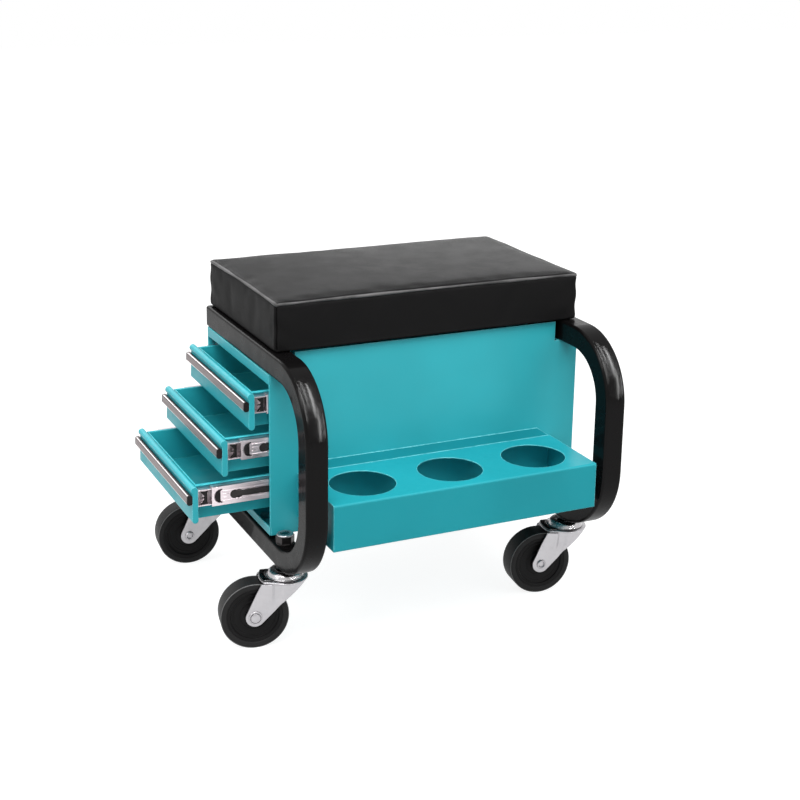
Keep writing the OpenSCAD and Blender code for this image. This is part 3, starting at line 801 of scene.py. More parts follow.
@dataclass
class Studio:
    """Pale floor, white surroundings, soft lamps and the camera of the photograph."""

    world_light: float = 0.62
    floor_size: float = 14.0
    floor_drop: float = 0.0002
    floor_colour: float = 0.3
    shadow_depth: float = 0.34
    floor_glow: float = 0.86
    camera_place: tuple[float, float, float] = (-720.95, -1438.8, 791.59)
    yaw: float = 25.39
    pitch: float = -15.41
    roll: float = 0.89
    focal: float = 67.45
    shift: float = -0.1
    lamps: list[Lamp] = field(default_factory=lambda: [
        Lamp("key", (-0.8, -1.0, 1.9), (0.9, 0.9), 21.0),
        Lamp("top", (-0.1, -0.75, 2.0), (0.9, 0.7), 23.0),
        Lamp("fill", (1.0, -1.4, 1.6), (0.9, 0.9), 9.0),
        Lamp("left", (-1.7, -0.3, 1.3), (0.8, 0.8), 9.5),
        Lamp("back_left", (-0.4, 1.9, 1.1), (1.3, 0.5), 5.0),
        Lamp("back_right", (1.1, 1.8, 0.7), (0.8, 0.5), 1.5),
    ])
    # Tubes: middle plane, centre and outer radius of the upper bend. Bands: distance, glow, and for
    # each its shift and width in millimetres and the angles on the bend between which it is mirrored
    tube_x: float = 179.5
    bend_centre: tuple[float, float] = (-21.0, 245.0)
    bend_r: float = 90.5
    strip_far: float = 1.3
    strip_glow: float = 100.0
    strip_rows: tuple[tuple[float, float, float, float], ...] = (
        (-9.0, 1.2, 22.0, 62.0), (-4.5, 1.6, 34.0, 60.0), (1.0, 4.4, 26.0, 56.0), (4.0, 2.6, 8.0, 34.0),
        (9.0, 1.4, 10.0, 30.0),
    )

    def ambience(self) -> None:
        """Makes the world white to the camera and in reflections, and dimmer as light."""
        world = bpy.data.worlds.new("surroundings")
        bpy.context.scene.world = world
        world.use_nodes = True
        tree = world.node_tree
        tree.nodes.clear()
        dim, white = (
            add_node(tree, "Background", 0, {"Color": WHITE, "Strength": light})
            for light in (self.world_light, 1.0)
        )
        shown = add_node(tree, "MixShader", 0, {"Fac": seen_directly(tree), 1: dim, 2: white})
        feed(tree, tree.nodes.new("ShaderNodeOutputWorld").inputs["Surface"], shown)

    def floor(self) -> None:
        """Lays the floor, white to the camera apart from the seat's shadow."""
        deselect()
        bpy.ops.mesh.primitive_plane_add(size=self.floor_size, location=(0, 0, -self.floor_drop))
        ground = bpy.context.object
        ground.name = "studio_floor"
        settle(ground)
        nodes = Weave("studio_floor")
        nodes.set(Base_Color=rgba((self.floor_colour,) * 3), Roughness=1.0, Specular_IOR_Level=0.0)
        glow = nodes.add("Emission", 0, {"Color": WHITE, "Strength": self.floor_glow})
        lit = nodes.add("BsdfDiffuse", 0, {"Color": rgba((self.shadow_depth,) * 3)})
        pale = nodes.add("AddShader", 0, {0: lit, 1: glow})
        shaded = nodes.shader.outputs["BSDF"]
        shown = nodes.add("MixShader", 0, {"Fac": seen_directly(nodes.tree), 1: shaded, 2: pale})
        feed(nodes.tree, nodes.output.inputs["Surface"], shown)
        ground.data.materials.append(nodes.material)

    def camera(self) -> None:
        """Sets up the camera at the photograph's angle."""
        yaw, pitch, roll = (math.radians(a) for a in (self.yaw, self.pitch, self.roll))
        ahead = Vector((math.sin(yaw) * math.cos(pitch), math.cos(yaw) * math.cos(pitch), math.sin(pitch)))
        side = Vector((math.cos(yaw), -math.sin(yaw), 0.0))
        up = side.cross(ahead)
        right = math.cos(roll) * side + math.sin(roll) * up
        top = -math.sin(roll) * side + math.cos(roll) * up
        lens = bpy.data.cameras.new("photo_camera")
        lens.lens = self.focal
        lens.sensor_width = 36.0
        lens.shift_y = self.shift
        lens.clip_end = 50.0
        camera = bpy.data.objects.new("photo_camera", lens)
        turn = Matrix((right, top, -ahead)).transposed().to_4x4()
        camera.matrix_world = Matrix.Translation(at(*self.camera_place)) @ turn
        bpy.context.scene.collection.objects.link(camera)
        bpy.context.scene.camera = camera

    def strip(self, side: int, row: tuple[float, float, float, float]) -> list[Vector]:
        """Finds where one glowing band hangs, so that it is mirrored along a tube's upper bend.

        Args:
            side: -1 for the left tube and 1 for the right one.
            row: the band's shift, width, first and last angle.

        Returns:
            Both ends of each step across the band.
        """
        shift, width, first, last = row
        steps = round((last - first) / 2)
        points = []
        for k in range(steps + 1):
            turn = math.radians(first + (last - first) * k / steps)
            out = Vector((0.0, -math.cos(turn), math.sin(turn)))
            bend = at(side * self.tube_x + shift, *self.bend_centre) + out * self.bend_r * MM
            view = (at(*self.camera_place) - bend).normalized()
            middle = bend + (2 * out.dot(view) * out - view) * self.strip_far
            half = Vector((0.5 * width * MM * math.sin(math.pi * (k + 0.3) / (steps + 0.6)) ** 0.7, 0, 0))
            points += [middle - half, middle + half]
        return points

    def strips(self) -> None:
        """Hangs narrow glowing bands that are seen only as streaks on the tubes' upper bends."""
        nodes = Weave("studio_strips")
        nodes.set(Base_Color=rgba((0.0, 0.0, 0.0)), Emission_Color=WHITE, Emission_Strength=self.strip_glow)
        for side, word in ((-1, "left"), (1, "right")):
            points, faces = [], []
            for row in self.strip_rows:
                start = len(points)
                points += self.strip(side, row)
                faces += [(j, j + 1, j + 3, j + 2) for j in range(start, len(points) - 2, 2)]
            mesh = bpy.data.meshes.new("studio_strips")
            mesh.from_pydata(points, [], faces)
            mesh.materials.append(nodes.material)
            strips = bpy.data.objects.new(f"studio_strips_{word}", mesh)
            bpy.context.scene.collection.objects.link(strips)
            strips.visible_camera = strips.visible_diffuse = strips.visible_shadow = False

    def build(self) -> None:
        """Builds the whole studio."""
        bpy.context.scene.view_settings.view_transform = "Standard"
        self.ambience()
        self.floor()
        self.camera()
        self.strips()
        for lamp in self.lamps:
            lamp.add()


# The seat


@dataclass
class SeatCushion:
    """Foam pad in a sewn vinyl cover: a crowned top, sides drawn in between the corners; in millimetres."""

    shrink: float = 0.7
    under_gap: float = 0.2
    crown_gap: float = 0.6
    corner: float = 5.5
    top_round: float = 4.6
    under_round: float = 1.5
    crown: float = 4.0
    draw: float = 1.6
    grid: float = 7.0
    near_edge: tuple[float, ...] = (1.1, 2.2, 3.3, 4.4, 5.5, 7.5, 10.5, 14.0, 18.0, 23.0)
    levels: tuple[float, ...] = (1.0, 2.2, 5.0, 9.0, 14.0, 20.0, 26.0, 32.0, 38.0, 43.0, 46.0, 48.0, 50.0)
    pressure: float = 4.0
    frames: int = 20
    held_corner: float = 12.0
    held_under: float = 2.5
    held_edge: float = 5.0
    seam_below: float = 9.0
    fill_share: float = 0.3
    cap: float = 0.9
    welt_r: float = 1.5
    welt_drop: float = 0.7
    welt_step: float = 3.0
    seam_depth: float = 2.6
    seam_width: float = 0.9
    corner_reach: float = 40.0
    swell: float = 0.6
    swell_at: float = 4.4
    pull: float = 0.75
    rim_wave: float = 0.35
    board_gap: float = 0.4
    low: Vector = field(default_factory=lambda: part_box("seat_cushion")[0].copy())
    high: Vector = field(default_factory=lambda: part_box("seat_cushion")[1].copy())

    def lines(self, length: float) -> list[float]:
        """Spaces the lines of the cover's grid, close together near both ends.

        Args:
            length: the length to divide, in millimetres.

        Returns:
            The places of the lines, from one end.
        """
        last = self.near_edge[-1]
        count = round((length - 2 * last) / self.grid)
        even = [last + (length - 2 * last) * k / count for k in range(1, count)]
        return [*self.near_edge, *even, *(length - c for c in reversed(self.near_edge))]

    def block_ends(self) -> tuple[Vector, Vector]:
        """Works out the plain box that the pad starts from.

        Returns:
            Its lower and upper corner, in metres.
        """
        gap = self.shrink * MM
        low = self.low + Vector((gap, gap, self.under_gap * MM))
        return low, self.high - Vector((gap, gap, (self.crown + self.crown_gap) * MM + gap))

    def start(self) -> Piece:
        """Makes the pad before it is filled: a rounded box with a crown and drawn-in sides.

        Returns:
            The pad.
        """
        low, high = self.block_ends()
        pad = block("seat_cover", low, high)
        size = high - low
        cut_across(pad, low, (self.lines(size.x / MM), self.lines(size.y / MM), self.levels))
        for vertex in pad.data.vertices:
            vertex.co = self.shape(vertex.co)
        return pad

    def shape(self, point: Vector) -> Vector:
        """Moves a point of the plain box to the rounded, crowned and drawn-in pad.

        Args:
            point: the point on the box.

        Returns:
            The point on the pad.
        """
        low, high = self.block_ends()
        half = (high - low) / 2
        middle = (low + high) / 2
        r = self.corner * MM
        p = point - middle
        rz = (self.top_round if p.z > 0 else self.under_round) * MM
        inner = Vector((half.x - r, half.y - r, half.z - rz))
        core = Vector([max(-i, min(i, c)) for c, i in zip(p, inner)])
        out = Vector(((p.x - core.x) / r, (p.y - core.y) / r, (p.z - core.z) / rz))
        if out.length > 1e-9:
            out.normalize()
            p = core + Vector((out.x * r, out.y * r, out.z * rz))
        u, v, w = p.x / half.x, p.y / half.y, (p.z / half.z + 1) / 2
        waist = 0.35 + 0.65 * min(1.0, 4 * w * (1 - w) + w)
        p.x -= self.draw * MM * u * abs(u) * (1 - v * v) * waist
        p.y -= self.draw * MM * v * abs(v) * (1 - u * u) * waist
        p.z += self.crown * MM * max(0.0, (1 - u * u) * (1 - v * v)) ** 0.6 * w
        return middle + p

    def welt(self) -> Piece:
        """Lays a thin cord along the cover's top seam, dressed pale to paint the highlight of its rounded edge.

        Returns:
            The cord, thin and half sunk in the cover.
        """
        low, high = self.block_ends()
        ring = []
        corners = [(low.x, low.y), (high.x, low.y), (high.x, high.y), (low.x, high.y)]
        for (x0, y0), (x1, y1) in zip(corners, corners[1:] + corners[:1]):
            count = round(math.hypot(x1 - x0, y1 - y0) / (self.welt_step * MM))
            shares = [k / count for k in range(count)]
            ring += [Vector((x0 + (x1 - x0) * share, y0 + (y1 - y0) * share, high.z)) for share in shares]
        curve = bpy.data.curves.new("cushion_edge", "CURVE")
        curve.dimensions = "3D"
        curve.bevel_depth = self.welt_r * MM
        curve.bevel_resolution = 2
        spline = curve.splines.new("POLY")
        spline.points.add(len(ring) - 1)
        for knot, corner in zip(spline.points, ring):
            place = self.shape(corner)
            knot.co = (*(place + self.crease(place) - Vector((0, 0, self.welt_drop * MM))), 1.0)
            knot.radius = 1.0 + 0.55 * noise.noise(place * 22)
        spline.use_cyclic_u = True
        cord = bpy.data.objects.new("cushion_edge", curve)
        bpy.context.scene.collection.objects.link(cord)
        activate(cord)
        bpy.ops.object.convert(target="MESH")
        cord = bpy.context.object
        outward(cord)
        return smooth(cord, 60.0)

    def fill(self, pad: Piece) -> None:
        """Blows the cover up with cloth simulation, by no more than the cap.

        Args:
            pad: the pad.
        """
        before = [v.co.copy() for v in pad.data.vertices]
        group = pad.vertex_groups.new(name="held")
        middle = (self.low + self.high) / 2
        half = (self.high - self.low) / 2
        for vertex in pad.data.vertices:
            p = vertex.co - middle
            from_x, from_y = half.x - abs(p.x), half.y - abs(p.y)
            corner = max(0.0, 1 - max(from_x, from_y) / (self.held_corner * MM))
            under = 1.0 if vertex.co.z < self.low.z + self.held_under * MM else 0.0
            from_seam = abs(vertex.co.z - (self.high.z - self.seam_below * MM))
            top = max(0.0, 1 - from_seam / (self.held_edge * MM))
            edge = 0.7 * top * max(0.0, 1 - min(from_x, from_y) / (self.held_edge * MM))
            group.add([vertex.index], min(1.0, max(2 * corner, under, edge)), "REPLACE")
        cloth = pad.modifiers.new("Fill", "CLOTH")
        vinyl = {
            "quality": 6, "mass": 0.3, "use_pressure": True, "uniform_pressure_force": self.pressure,
            "tension_stiffness": 25.0, "compression_stiffness": 8.0, "bending_stiffness": 4.0,
            "vertex_group_mass": "held", "shrink_min": -0.012,
        }
        for key, value in vinyl.items():
            setattr(cloth.settings, key, value)
        cloth.settings.effector_weights.gravity = 0.0
        cloth.point_cache.frame_start = 1
        cloth.point_cache.frame_end = self.frames
        for step in range(1, self.frames + 1):
            bpy.context.scene.frame_set(step)
        activate(pad)
        bpy.ops.object.modifier_apply(modifier=cloth.name)
        bpy.context.scene.frame_set(1)
        furthest = 0.0
        for vertex, origin in zip(pad.data.vertices, before):
            move = vertex.co - origin
            furthest = max(furthest, move.length)
            move *= self.fill_share
            if move.length > self.cap * MM:
                move *= self.cap * MM / move.length
            vertex.co = origin + move
        log.info("cover filled, by up to %.1f mm before the cap", furthest / MM)
        pad.vertex_groups.clear()

    def crease(self, point: Vector) -> Vector:
        """Says how far a point of the cover moves for seams, puckers and pull lines.

        Args:
            point: the point, before.

        Returns:
            The move.
        """
        middle = (self.low + self.high) / 2
        half = (self.high - self.low) / 2
        p = point - middle
        sx, sy = math.copysign(1, p.x), math.copysign(1, p.y)
        from_corner = Vector((half.x - abs(p.x), half.y - abs(p.y))) / MM
        height = (point.z - self.low.z) / MM
        out = Vector((sx, sy, 0.0)).normalized()
        across = abs(from_corner.x - from_corner.y) / math.sqrt(2)
        depth = (from_corner.x + from_corner.y) / math.sqrt(2)
        move = Vector()
        if depth < self.corner_reach:
            fade = min(1.0, max(0.0, (52 - height) / 5)) * min(1.0, height / 3)
            groove = math.exp(-((across / self.seam_width) ** 2)) * math.exp(-depth / 14)
            swell = self.swell * math.exp(-(((across - self.swell_at) / 2.8) ** 2)) * math.exp(-depth / 16)
            pull = self.pull * math.exp(-across / 17) * math.exp(-depth / 34)
            wave = math.sin(height * 0.24 + across * 0.2 + sx * 1.3 + sy * 0.7)
            move += out * fade * (swell + pull * wave - self.seam_depth * groove)
        edge = abs(height - 51) / 5
        if edge < 3:
            wave = noise.noise(Vector((point.x, point.y, 0.0)) * 36) + 0.5 * noise.noise(point * 85)
            rim = math.exp(-min(from_corner) / 8) * math.exp(-edge * edge)
            move += Vector((0, 0, 1)) * wave * rim * self.rim_wave
        if height > 4:
            normal = Vector((sx, 0, 0)) if from_corner.x < from_corner.y else Vector((0, sy, 0))
            if min(from_corner) > 10:
                normal = Vector((0, 0, 1))
            move += normal * (noise.noise(point * 9) * 0.25 + noise.noise(point * 34) * 0.03)
        return move * MM

    def pocket(self, pad: Piece) -> None:
        """Cuts the hollow that the seat board lies in.

        Args:
            pad: the pad.
        """
        board_low, board_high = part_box("seat_board")
        gap = Vector((self.board_gap,) * 3) * MM
        cutter = block("board_hollow", board_low - gap - Vector((0, 0, 10)) * MM, board_high + gap)
        apply_modifier(pad, "BOOLEAN", operation="DIFFERENCE", object=cutter, solver="EXACT")
        remove(cutter)

    def build(self, wardrobe: Wardrobe) -> None:
        """Builds, fills, sews and dresses the cushion.

        Args:
            wardrobe: the finishes.
        """
        pad = self.start()
        self.fill(pad)
        apply_modifier(pad, "SUBSURF", levels=1, render_levels=1)
        for vertex in pad.data.vertices:
            vertex.co += self.crease(vertex.co)
            vertex.co.z = max(vertex.co.z, self.low.z)
        self.pocket(pad)
        smooth(pad, 60.0)
        keep(pad, wardrobe, Finish.black_vinyl, "frame", "seat_cushion")
        # The pale cord paints the highlight along the cushion's top edge.
        keep(self.welt(), wardrobe, Finish.rubbed_vinyl, "frame")


@dataclass
class Place:
    """Where one caster stands and how it is turned."""

    corner: str
    matrix: Matrix
    body: str
    wheel_body: str


def joint(name: str) -> dict:
    """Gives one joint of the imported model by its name."""
    return next(j for j in frame["joints"] if j["name"] == name)


def caster_places() -> list[Place]:
    """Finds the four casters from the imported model's joints.

    Returns:
        The places, each with X from the swivel towards the axle.
    """
    places = []
    for corner in ("fl", "fr", "rl", "rr"):
        swivel = Vector(joint(f"swivel_{corner}")["pos_m"])
        axle = Vector(joint(f"spin_{corner}")["pos_m"])
        turn = math.atan2(axle.y - swivel.y, axle.x - swivel.x)
        matrix = Matrix.Translation((swivel.x, swivel.y, 0.0)) @ Matrix.Rotation(turn, 4, "Z")
        places.append(Place(corner, matrix, f"caster_{corner}", f"wheel_{corner}"))
    return places


@dataclass
class Caster:
    """Swivel caster: pressed fork, domed race, moulded wheel and riveted axle; lengths in millimetres."""

    trail: float = 36.0
    axle_z: float = 38.0
    crown_z: float = 77.0
    crown_t: float = 2.5
    crown_r: float = 25.0
    tail_r: float = 38.6
    tail_centre: float = -8.5
    hood_inner_r: float = 22.4
    hood_t: float = 3.4
    hood_sunk: float = 1.4
    hood_gap: float = 0.4
    leg_in: float = 13.5
    leg_t: float = 2.0
    leg_front: float = 29.0
    leg_rear: float = -20.0
    boss_r: float = 10.6
    flare: float = 4.6
    flare_from: float = 48.0
    channel: tuple[float, float] = (4.5, 18.0)
    channel_depth: float = 2.4
    channel_wall: float = 3.4
    hollow_axles: tuple[str, ...] = ("fr", "rl")
    leg_cuts: tuple[float, ...] = (-17.5, -15, -12, -8, -4, 0, 2.5)
    leg_levels: tuple[float, ...] = (46, 48, 49.5, 52, 55, 58, 61, 64, 67, 70, 72, 74, 75.5)

    def leg_outline(self) -> Points:
        """Draws the leg's side: a wide top, slanted edges and a round boss.

        Returns:
            The outline in X and Z, counter-clockwise.
        """
        centre = Vector((self.trail, self.axle_z))

        def touch(point: Vector, side: int) -> float:
            """Gives the angle at which a line from a point touches the boss."""
            away = point - centre
            return math.degrees(math.atan2(away.y, away.x) + side * math.acos(self.boss_r / away.length))

        rear = touch(Vector((self.leg_rear, self.crown_z)), 1)
        front = touch(Vector((self.leg_front, self.crown_z)), -1)
        while front < rear:
            front += 360
        boss = arc(centre.x, centre.y, self.boss_r, rear, front, 26)
        return [(self.leg_rear, self.crown_z)] + boss + [(self.leg_front, self.crown_z)]

    def bend(self, x: float, z: float) -> float:
        """Says how far the leg stands out from its flat at a place.

        Args:
            x: distance from the swivel towards the axle.
            z: height over the floor.

        Returns:
            The distance outwards.
        """
        rise = min(1.0, max(0.0, (z - self.flare_from) / (self.crown_z - self.flare_from)))
        rise = rise * rise * (3 - 2 * rise)
        first, last = self.channel
        if x < first:
            share = 1 - ((first - x) / (first - self.leg_rear)) ** 2 * 1.3
        elif x > last:
            share = 1 - (x - last) / (self.leg_front - last) * 0.8
        else:
            share = 1.0
        out = self.flare * rise * share
        wall = min(1.0, max(0.0, (x - first) / self.channel_wall), max(0.0, (last - x) / self.channel_wall))
        run_out = min(1.0, max(0.0, (z - self.axle_z - 6) / 16))
        return out - self.channel_depth * max(0.0, wall) * run_out

    def leg(self) -> Piece:
        """Presses one leg, on the +Y side.

        Returns:
            The leg.
        """
        leg = plate("leg", self.leg_outline(), self.leg_t)
        first, last = self.channel
        walls = (first, first + self.channel_wall, last - self.channel_wall, last)
        cut_across(leg, Vector(), ((*self.leg_cuts, *walls, 22, 25, 27), self.leg_levels))
        for vertex in leg.data.vertices:
            x, z, t = vertex.co / MM
            vertex.co = Vector((x, self.leg_in + t + self.bend(x, z), z)) * MM
        outward(leg)
        return leg

    def crown(self) -> Piece:
        """Makes the fork's crown: a plate round the swivel, drawn out to a tail over the wheel.

        Returns:
            The crown.
        """
        outline = arc(self.tail_centre, 0, self.tail_r, -25, 25, 12) + arc(0, 0, self.crown_r, 53, 307, 48)
        crown = plate("crown", outline, self.crown_t)
        crown.location.z = self.crown_z * MM
        settle(crown)
        round_edges(crown, 0.0011, 4)
        return crown

    # The hood is laid over the crown's tail to carry darkened chrome that paints the reflection of the dark tube
    # above.
    def hood(self) -> Piece:
        """Makes the raised hood at the crown's tail, which closes the gap beside the race.

        Returns:
            The hood.
        """
        half, r = math.radians(44), self.hood_inner_r
        shares = (1, 0.66, 0.33, 0, -0.33, -0.66, -1)
        inside = [(r * math.cos(a * half), r * math.sin(a * half)) for a in shares]
        outline = arc(self.tail_centre, 0, self.tail_r - self.hood_gap, -24, 24, 12) + inside
        hood = plate("hood", outline, self.hood_t)
        hood.location.z = (self.crown_z + self.crown_t - self.hood_sunk) * MM
        settle(hood)
        round_edges(hood, 0.0015, 4)
        return smooth(hood, 40)

    def fork(self) -> Piece:
        """Builds the pressed fork.

        Returns:
            The fork, with the swivel on the Z axis and the axle towards +X.
        """
        leg = self.leg()
        other = copy_to(leg, "leg_other", Matrix.Scale(-1, 4, (0, 1, 0)))
        legs = join("legs", [leg, other])
        round_edges(legs, 0.00045, 2, 30)
        return smooth(join("fork", [self.crown(), legs]), 32)

    def dome(self) -> Piece:
        """Turns the bright dome over the race.

        Returns:
            The dome, about the swivel axis.
        """
        return smooth(turned("dome", [
            (6.6, 80.2), (20.4, 80.2), *arc(20.9, 80.6, 0.45, -90, 60, 5), (20.4, 81.2), (20.0, 82.4),
            *arc(15.0, 82.0, 4.6, 15, 80, 6), (13.6, 86.9), (12.0, 87.1), (11.1, 86.8), (10.8, 84.4),
            (6.6, 84.3),
        ], 96), 40)

    def nut_ring(self) -> Piece:
        """Turns the bright face on top of a stem's nut.

        Returns:
            The ring, about the swivel axis.
        """
        return smooth(turned("nut_ring", [
            (2.6, 126.6), (8.9, 126.6), (9.3, 127.0), (9.2, 128.0), (8.7, 128.5), (3.6, 128.5), (2.8, 128.1),
        ], 48), 40)

    def tyre_line(self) -> Piece:
        """Turns a thin ring round each shoulder of a tyre, dressed pale to paint the highlight where the shoulder
        catches light.

        Returns:
            Both lines as one object, about the Z axis.
        """
        line = [(37.3, 11.0), (37.9, 11.0), (38.0, 11.5), (37.6, 12.0), (37.1, 11.9)]
        near = turned("tyre_line", line, 96)
        return join("tyre_line", [near, turned("tyre_line_far", [(r, -h) for r, h in line], 96)])

    def both_sides(self, name: str, half: Outline, steps: int, angle: float) -> Piece:
        """Turns a part that is alike on both sides of the wheel's middle plane.

        Args:
            name: the part's name.
            half: the outline of one side, from its start at the plane to its end.
            steps: number of steps round the axis.
            angle: edges sharper than this many degrees stay sharp.

        Returns:
            The part, about the Z axis.
        """
        return smooth(turned(name, [*half, *((r, -h) for r, h in reversed(half))], steps), angle)

    def tyre(self) -> Piece:
        """Turns the tyre, with a thin ridge at each shoulder.

        Returns:
            The tyre, about the Z axis.
        """
        return self.both_sides("tyre", [
            (38.0, 9.6), (37.9, 10.3), (37.4, 10.6), (37.3, 10.9), (37.6, 11.2), (37.4, 11.6), (36.8, 11.9),
            (35.0, 12.0), (32.4, 12.0), (31.6, 11.8), (31.4, 11.3), (31.0, 11.2),
        ], 96, 28)

    def core(self) -> Piece:
        """Turns the wheel's core: rim, stepped disc and hub.

        Returns:
            The core, about the Z axis.
        """
        return self.both_sides("core", [
            (31.0, 11.2), (30.2, 11.5), (28.2, 11.4), (27.2, 10.9), (26.7, 9.4), (26.0, 9.0), (24.2, 8.9),
            (23.9, 9.15), (23.2, 9.15), (22.9, 8.8), (17.2, 8.2), (16.9, 8.45), (16.2, 8.45), (15.9, 8.1),
            (12.6, 7.9), (11.0, 8.4), (10.4, 12.4), (9.7, 13.2), (4.15, 13.2),
        ], 96, 30)

    def axle(self, hollow: bool) -> Piece:
        """Turns the axle with its two heads.

        Args:
            hollow: whether the heads are rolled over a hollow rivet.

        Returns:
            The axle, about the Z axis.
        """
        low, top = 15.5, 18.0
        if hollow:
            face = [
                (5.6, low), (5.6, low + 1.2), (5.2, low + 1.9), (4.6, top - 0.1), (4.0, top - 0.1),
                (3.4, top - 0.9), (2.9, top - 2.2), (0.0, top - 2.3),
            ]
        else:
            face = [
                (7.6, low), (7.6, low + 1.0), (7.2, low + 1.5), (6.3, low + 1.5), (5.9, low + 0.5),
                (5.4, low + 0.5), (5.1, low + 1.9), (4.4, low + 2.3), (0.0, low + 2.4),
            ]
        half = [(3.95, low)] + face
        return smooth(turned("axle", [(r, -h) for r, h in reversed(half)] + half, 48), 30)

    def build(self, wardrobe: Wardrobe) -> None:
        """Builds and dresses the four casters.

        Args:
            wardrobe: the finishes.
        """
        fork, hood, dome, tyre, core = self.fork(), self.hood(), self.dome(), self.tyre(), self.core()
        line, ring = self.tyre_line(), self.nut_ring()
        axles = {True: self.axle(True), False: self.axle(False)}
        hub = Matrix.Translation((self.trail * MM, 0, self.axle_z * MM)) @ UPRIGHT
        domes, rings = [], []
        for place in caster_places():
            c, still, wheel = place.corner, place.matrix, place.wheel_body
            on_hub, axle = still @ hub, axles[c in self.hollow_axles]
            # The hood's darkened chrome is a painted reflection of the dark tube above it.
            rows = (
                (fork, "pressed_fork", still, Finish.bright_zinc, place.body, f"fork_{c}"),
                (hood, "fork_hood", still, Finish.dark_chrome, place.body),
                (axle, "riveted_axle", on_hub, Finish.bright_zinc, place.body, f"axle_{c}"),
                (tyre, "ridged_tyre", on_hub, Finish.black_tyre, wheel, f"tyre_{c}"),
                (core, "wheel_core", on_hub, Finish.wheel_plastic, wheel, f"wheel_{c}"),
                # The tyre line's pale grey is a painted highlight along the shoulder.
                (line, "tyre_line", on_hub, Finish.rubbed_tyre, wheel),
            )
            for part, name, where, finish, body, *nodes in rows:
                keep(copy_to(part, f"{name}_{c}", where), wardrobe, finish, body, *nodes)
            domes.append(copy_to(dome, f"dome_{c}", still))
            rings.append(copy_to(ring, f"ring_{c}", still))
        keep(join("race_domes", domes), wardrobe, Finish.satin_chrome, "frame", "swivel_domes")
        keep(join("nut_rings", rings), wardrobe, Finish.bright_zinc, "frame")
        for helper in (fork, hood, dome, tyre, core, line, ring, *axles.values()):
            remove(helper)


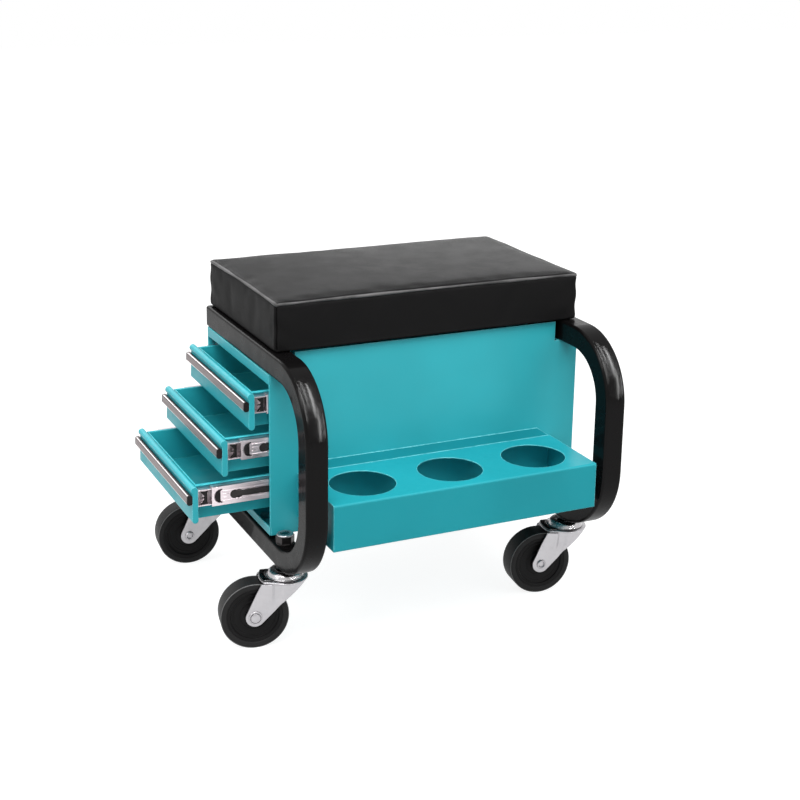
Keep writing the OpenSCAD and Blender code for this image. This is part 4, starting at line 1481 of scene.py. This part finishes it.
@dataclass
class DrawerTrim:
    """Small parts of one drawer: strips that paint highlights along the handle's edges, and what shows on its
    slides, some of it dark plates that paint shade; in millimetres.
    """

    number: int
    lean: float = 1.9
    bar_t: float = 6.0
    bar_h: float = 11.0
    bar_round: float = 2.4
    edge_proud: float = 0.08
    edge_sunk: float = 0.3
    latch_at: float = 3.0
    latch_l: float = 8.6
    latch_h: float = 14.6
    latch_t: float = 1.6
    lug_at: float = 3.4
    lug_l: float = 6.2
    lug_h: float = 13.0
    slot_at: float = 25.5
    slot_l: float = 44.0
    slot_h: float = 10.0
    rib_l: float = 60.0
    rib_from: float = 12.0
    sunk: float = 0.25

    def bar_edges(self) -> Piece:
        """Draws rounded strips along the handle bar's upper and lower edges, which carry a painted highlight.

        Returns:
            Both strips as one object.
        """
        low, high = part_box(f"drawer_{self.number}_handle")
        middle = (low + high) / 2
        along = Vector((math.sin(math.radians(self.lean)), math.cos(math.radians(self.lean))))
        face = Vector((-along.y, along.x))
        strips = []
        for side in (-1, 1):
            up, out = self.bar_h / 2 - self.bar_round, self.bar_t / 2 - self.bar_round
            centre = along * side * up + face * out
            outer, inner = self.bar_round + self.edge_proud, self.bar_round - self.edge_sunk
            ring = []
            for radius, steps in ((outer, range(7)), (inner, range(6, -1, -1))):
                for k in steps:
                    turn = math.radians((38 if side > 0 else 12) + 4.5 * k)
                    ring.append(centre + (face * math.cos(turn) + along * side * math.sin(turn)) * radius)
            if side > 0:
                ring.reverse()
            strips.append(plate("bar_edge", [(p.x, p.y) for p in ring], (high.y - low.y) / MM - 0.4))
        piece = join(f"drawer_{self.number}_bar_edges", strips)
        piece.data.transform(Matrix.Translation((middle.x, high.y - 0.0002, middle.z)) @ UPRIGHT)
        outward(piece)
        return smooth(piece, 50)

    def on_both_sides(self, name: str, one: Piece, node: str, x: float) -> Piece:
        """Copies a flat piece to the outer faces of both slide members.

        Args:
            name: the name of the result.
            one: the piece, flat in XY and with its face up.
            node: the slide members' node.
            x: distance of its middle from the members' front end, in millimetres.

        Returns:
            Both copies as one object.
        """
        low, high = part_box(node)
        thick = max(v.co.z for v in one.data.vertices)
        place = Vector((low.x + x * MM, 0.0, (low.z + high.z) / 2))
        sides = (low.y + thick - self.sunk * MM, high.y + self.sunk * MM)
        pair = [copy_to(one, name, Matrix.Translation(place + Vector((0, y, 0))) @ UPRIGHT) for y in sides]
        remove(one)
        return join(name, pair)

    def latch(self) -> Piece:
        """Moulds the latch at the front of an inner member: a bow tie with a notch in front.

        Returns:
            The latch, flat in XY.
        """
        l, h = self.latch_l / 2, self.latch_h / 2
        outline = [
            (-l, -h), (l, -h), (l - 0.8, -h + 1.6), (l - 0.8, h - 1.6), (l, h), (-l, h), (-l + 1.2, h - 1.4),
            (0.4, 1.6), (-0.6, 0.6), (-l + 0.6, 0.4), (-l + 0.6, -0.4), (-0.6, -0.6), (0.4, -1.6),
            (-l + 1.2, -h + 1.4),
        ]
        one = plate("latch", outline, self.latch_t)
        round_edges(one, 0.0003, 2)
        return smooth(one)

    def lug(self) -> Piece:
        """Makes a half-moon plate at the front of a middle member, dressed black to paint the shade in the
        crescent hole there.

        Returns:
            The plate, flat in XY.
        """
        half = self.lug_h / 2
        outline = [(self.lug_l / 2, -half), (self.lug_l / 2, half)]
        for k in range(11):
            turn = math.radians(75 - 15 * k)
            outline.append((self.lug_l / 2 - self.lug_l * math.cos(turn), half * math.sin(turn)))
        one = plate("lug", outline, 1.2)
        round_edges(one, 0.0003, 2)
        return smooth(one)

    def slot(self) -> Piece:
        """Makes a plate in the shape of a middle member's slot with its round end, dressed dark to paint the shade
        in the slot's hollow.

        Returns:
            The slot, flat in XY.
        """
        r = self.slot_h / 2
        outline = arc(0, 0, r, 40, 320, 28) + [(self.slot_l, -r * 0.64), (self.slot_l, r * 0.64)]
        one = plate("slot", outline, 0.5)
        round_edges(one, 0.0002, 1)
        return one

    def ribs(self) -> Piece:
        """Presses the fine ribs along a middle member.

        Returns:
            The ribs as one object, flat in XY.
        """
        strips = []
        for z in (-5.6, -2.0, 1.9, 5.6):
            end = self.slot_at - 6.5 if abs(z) < 5 else self.rib_l
            low, high = Vector((self.rib_from, z - 0.3, 0)), Vector((end, z + 0.3, 0.45))
            strips.append(block("rib", low * MM, high * MM))
            round_edges(strips[-1], 0.0002, 2)
        return smooth(join("ribs", strips))

    def build(self, wardrobe: Wardrobe) -> None:
        """Builds and dresses the drawer's trim.

        Args:
            wardrobe: the finishes.
        """
        n = self.number
        inner, middle, body = f"slide_{n}_inner", f"slide_{n}_middle", f"slide_mid_{n}"
        # The bright edge strips paint the highlights along the handle bar.
        keep(self.bar_edges(), wardrobe, Finish.polished_edge, f"drawer_{n}")
        latch_x, crescent_x = self.latch_at + self.latch_l / 2, self.lug_at + self.lug_l / 2
        # The black crescents and the dark slots are plates that paint the shade in the middle members' holes.
        rows = (
            (f"drawer_{n}_latches", self.latch, inner, latch_x, Finish.black_plastic, f"drawer_{n}"),
            (f"slide_{n}_crescent_shades", self.lug, middle, crescent_x, Finish.black_plastic, body),
            (f"slide_{n}_slots", self.slot, middle, self.slot_at, Finish.dark_recess, body),
            (f"slide_{n}_ribs", self.ribs, middle, 0.0, Finish.slide_steel, body),
        )
        for name, shape, node, x, finish, rides_on in rows:
            keep(self.on_both_sides(name, shape(), node, x), wardrobe, finish, rides_on)


def main() -> None:
    """Builds the seat's pieces in order."""
    logging.basicConfig(level=logging.INFO, format="%(message)s")
    wardrobe = Wardrobe()
    wardrobe.dress_cad()
    Studio().build()
    SeatCushion().build(wardrobe)
    Caster().build(wardrobe)
    for number in (1, 2, 3):
        DrawerTrim(number).build(wardrobe)


if __name__ == "__main__":
    main()
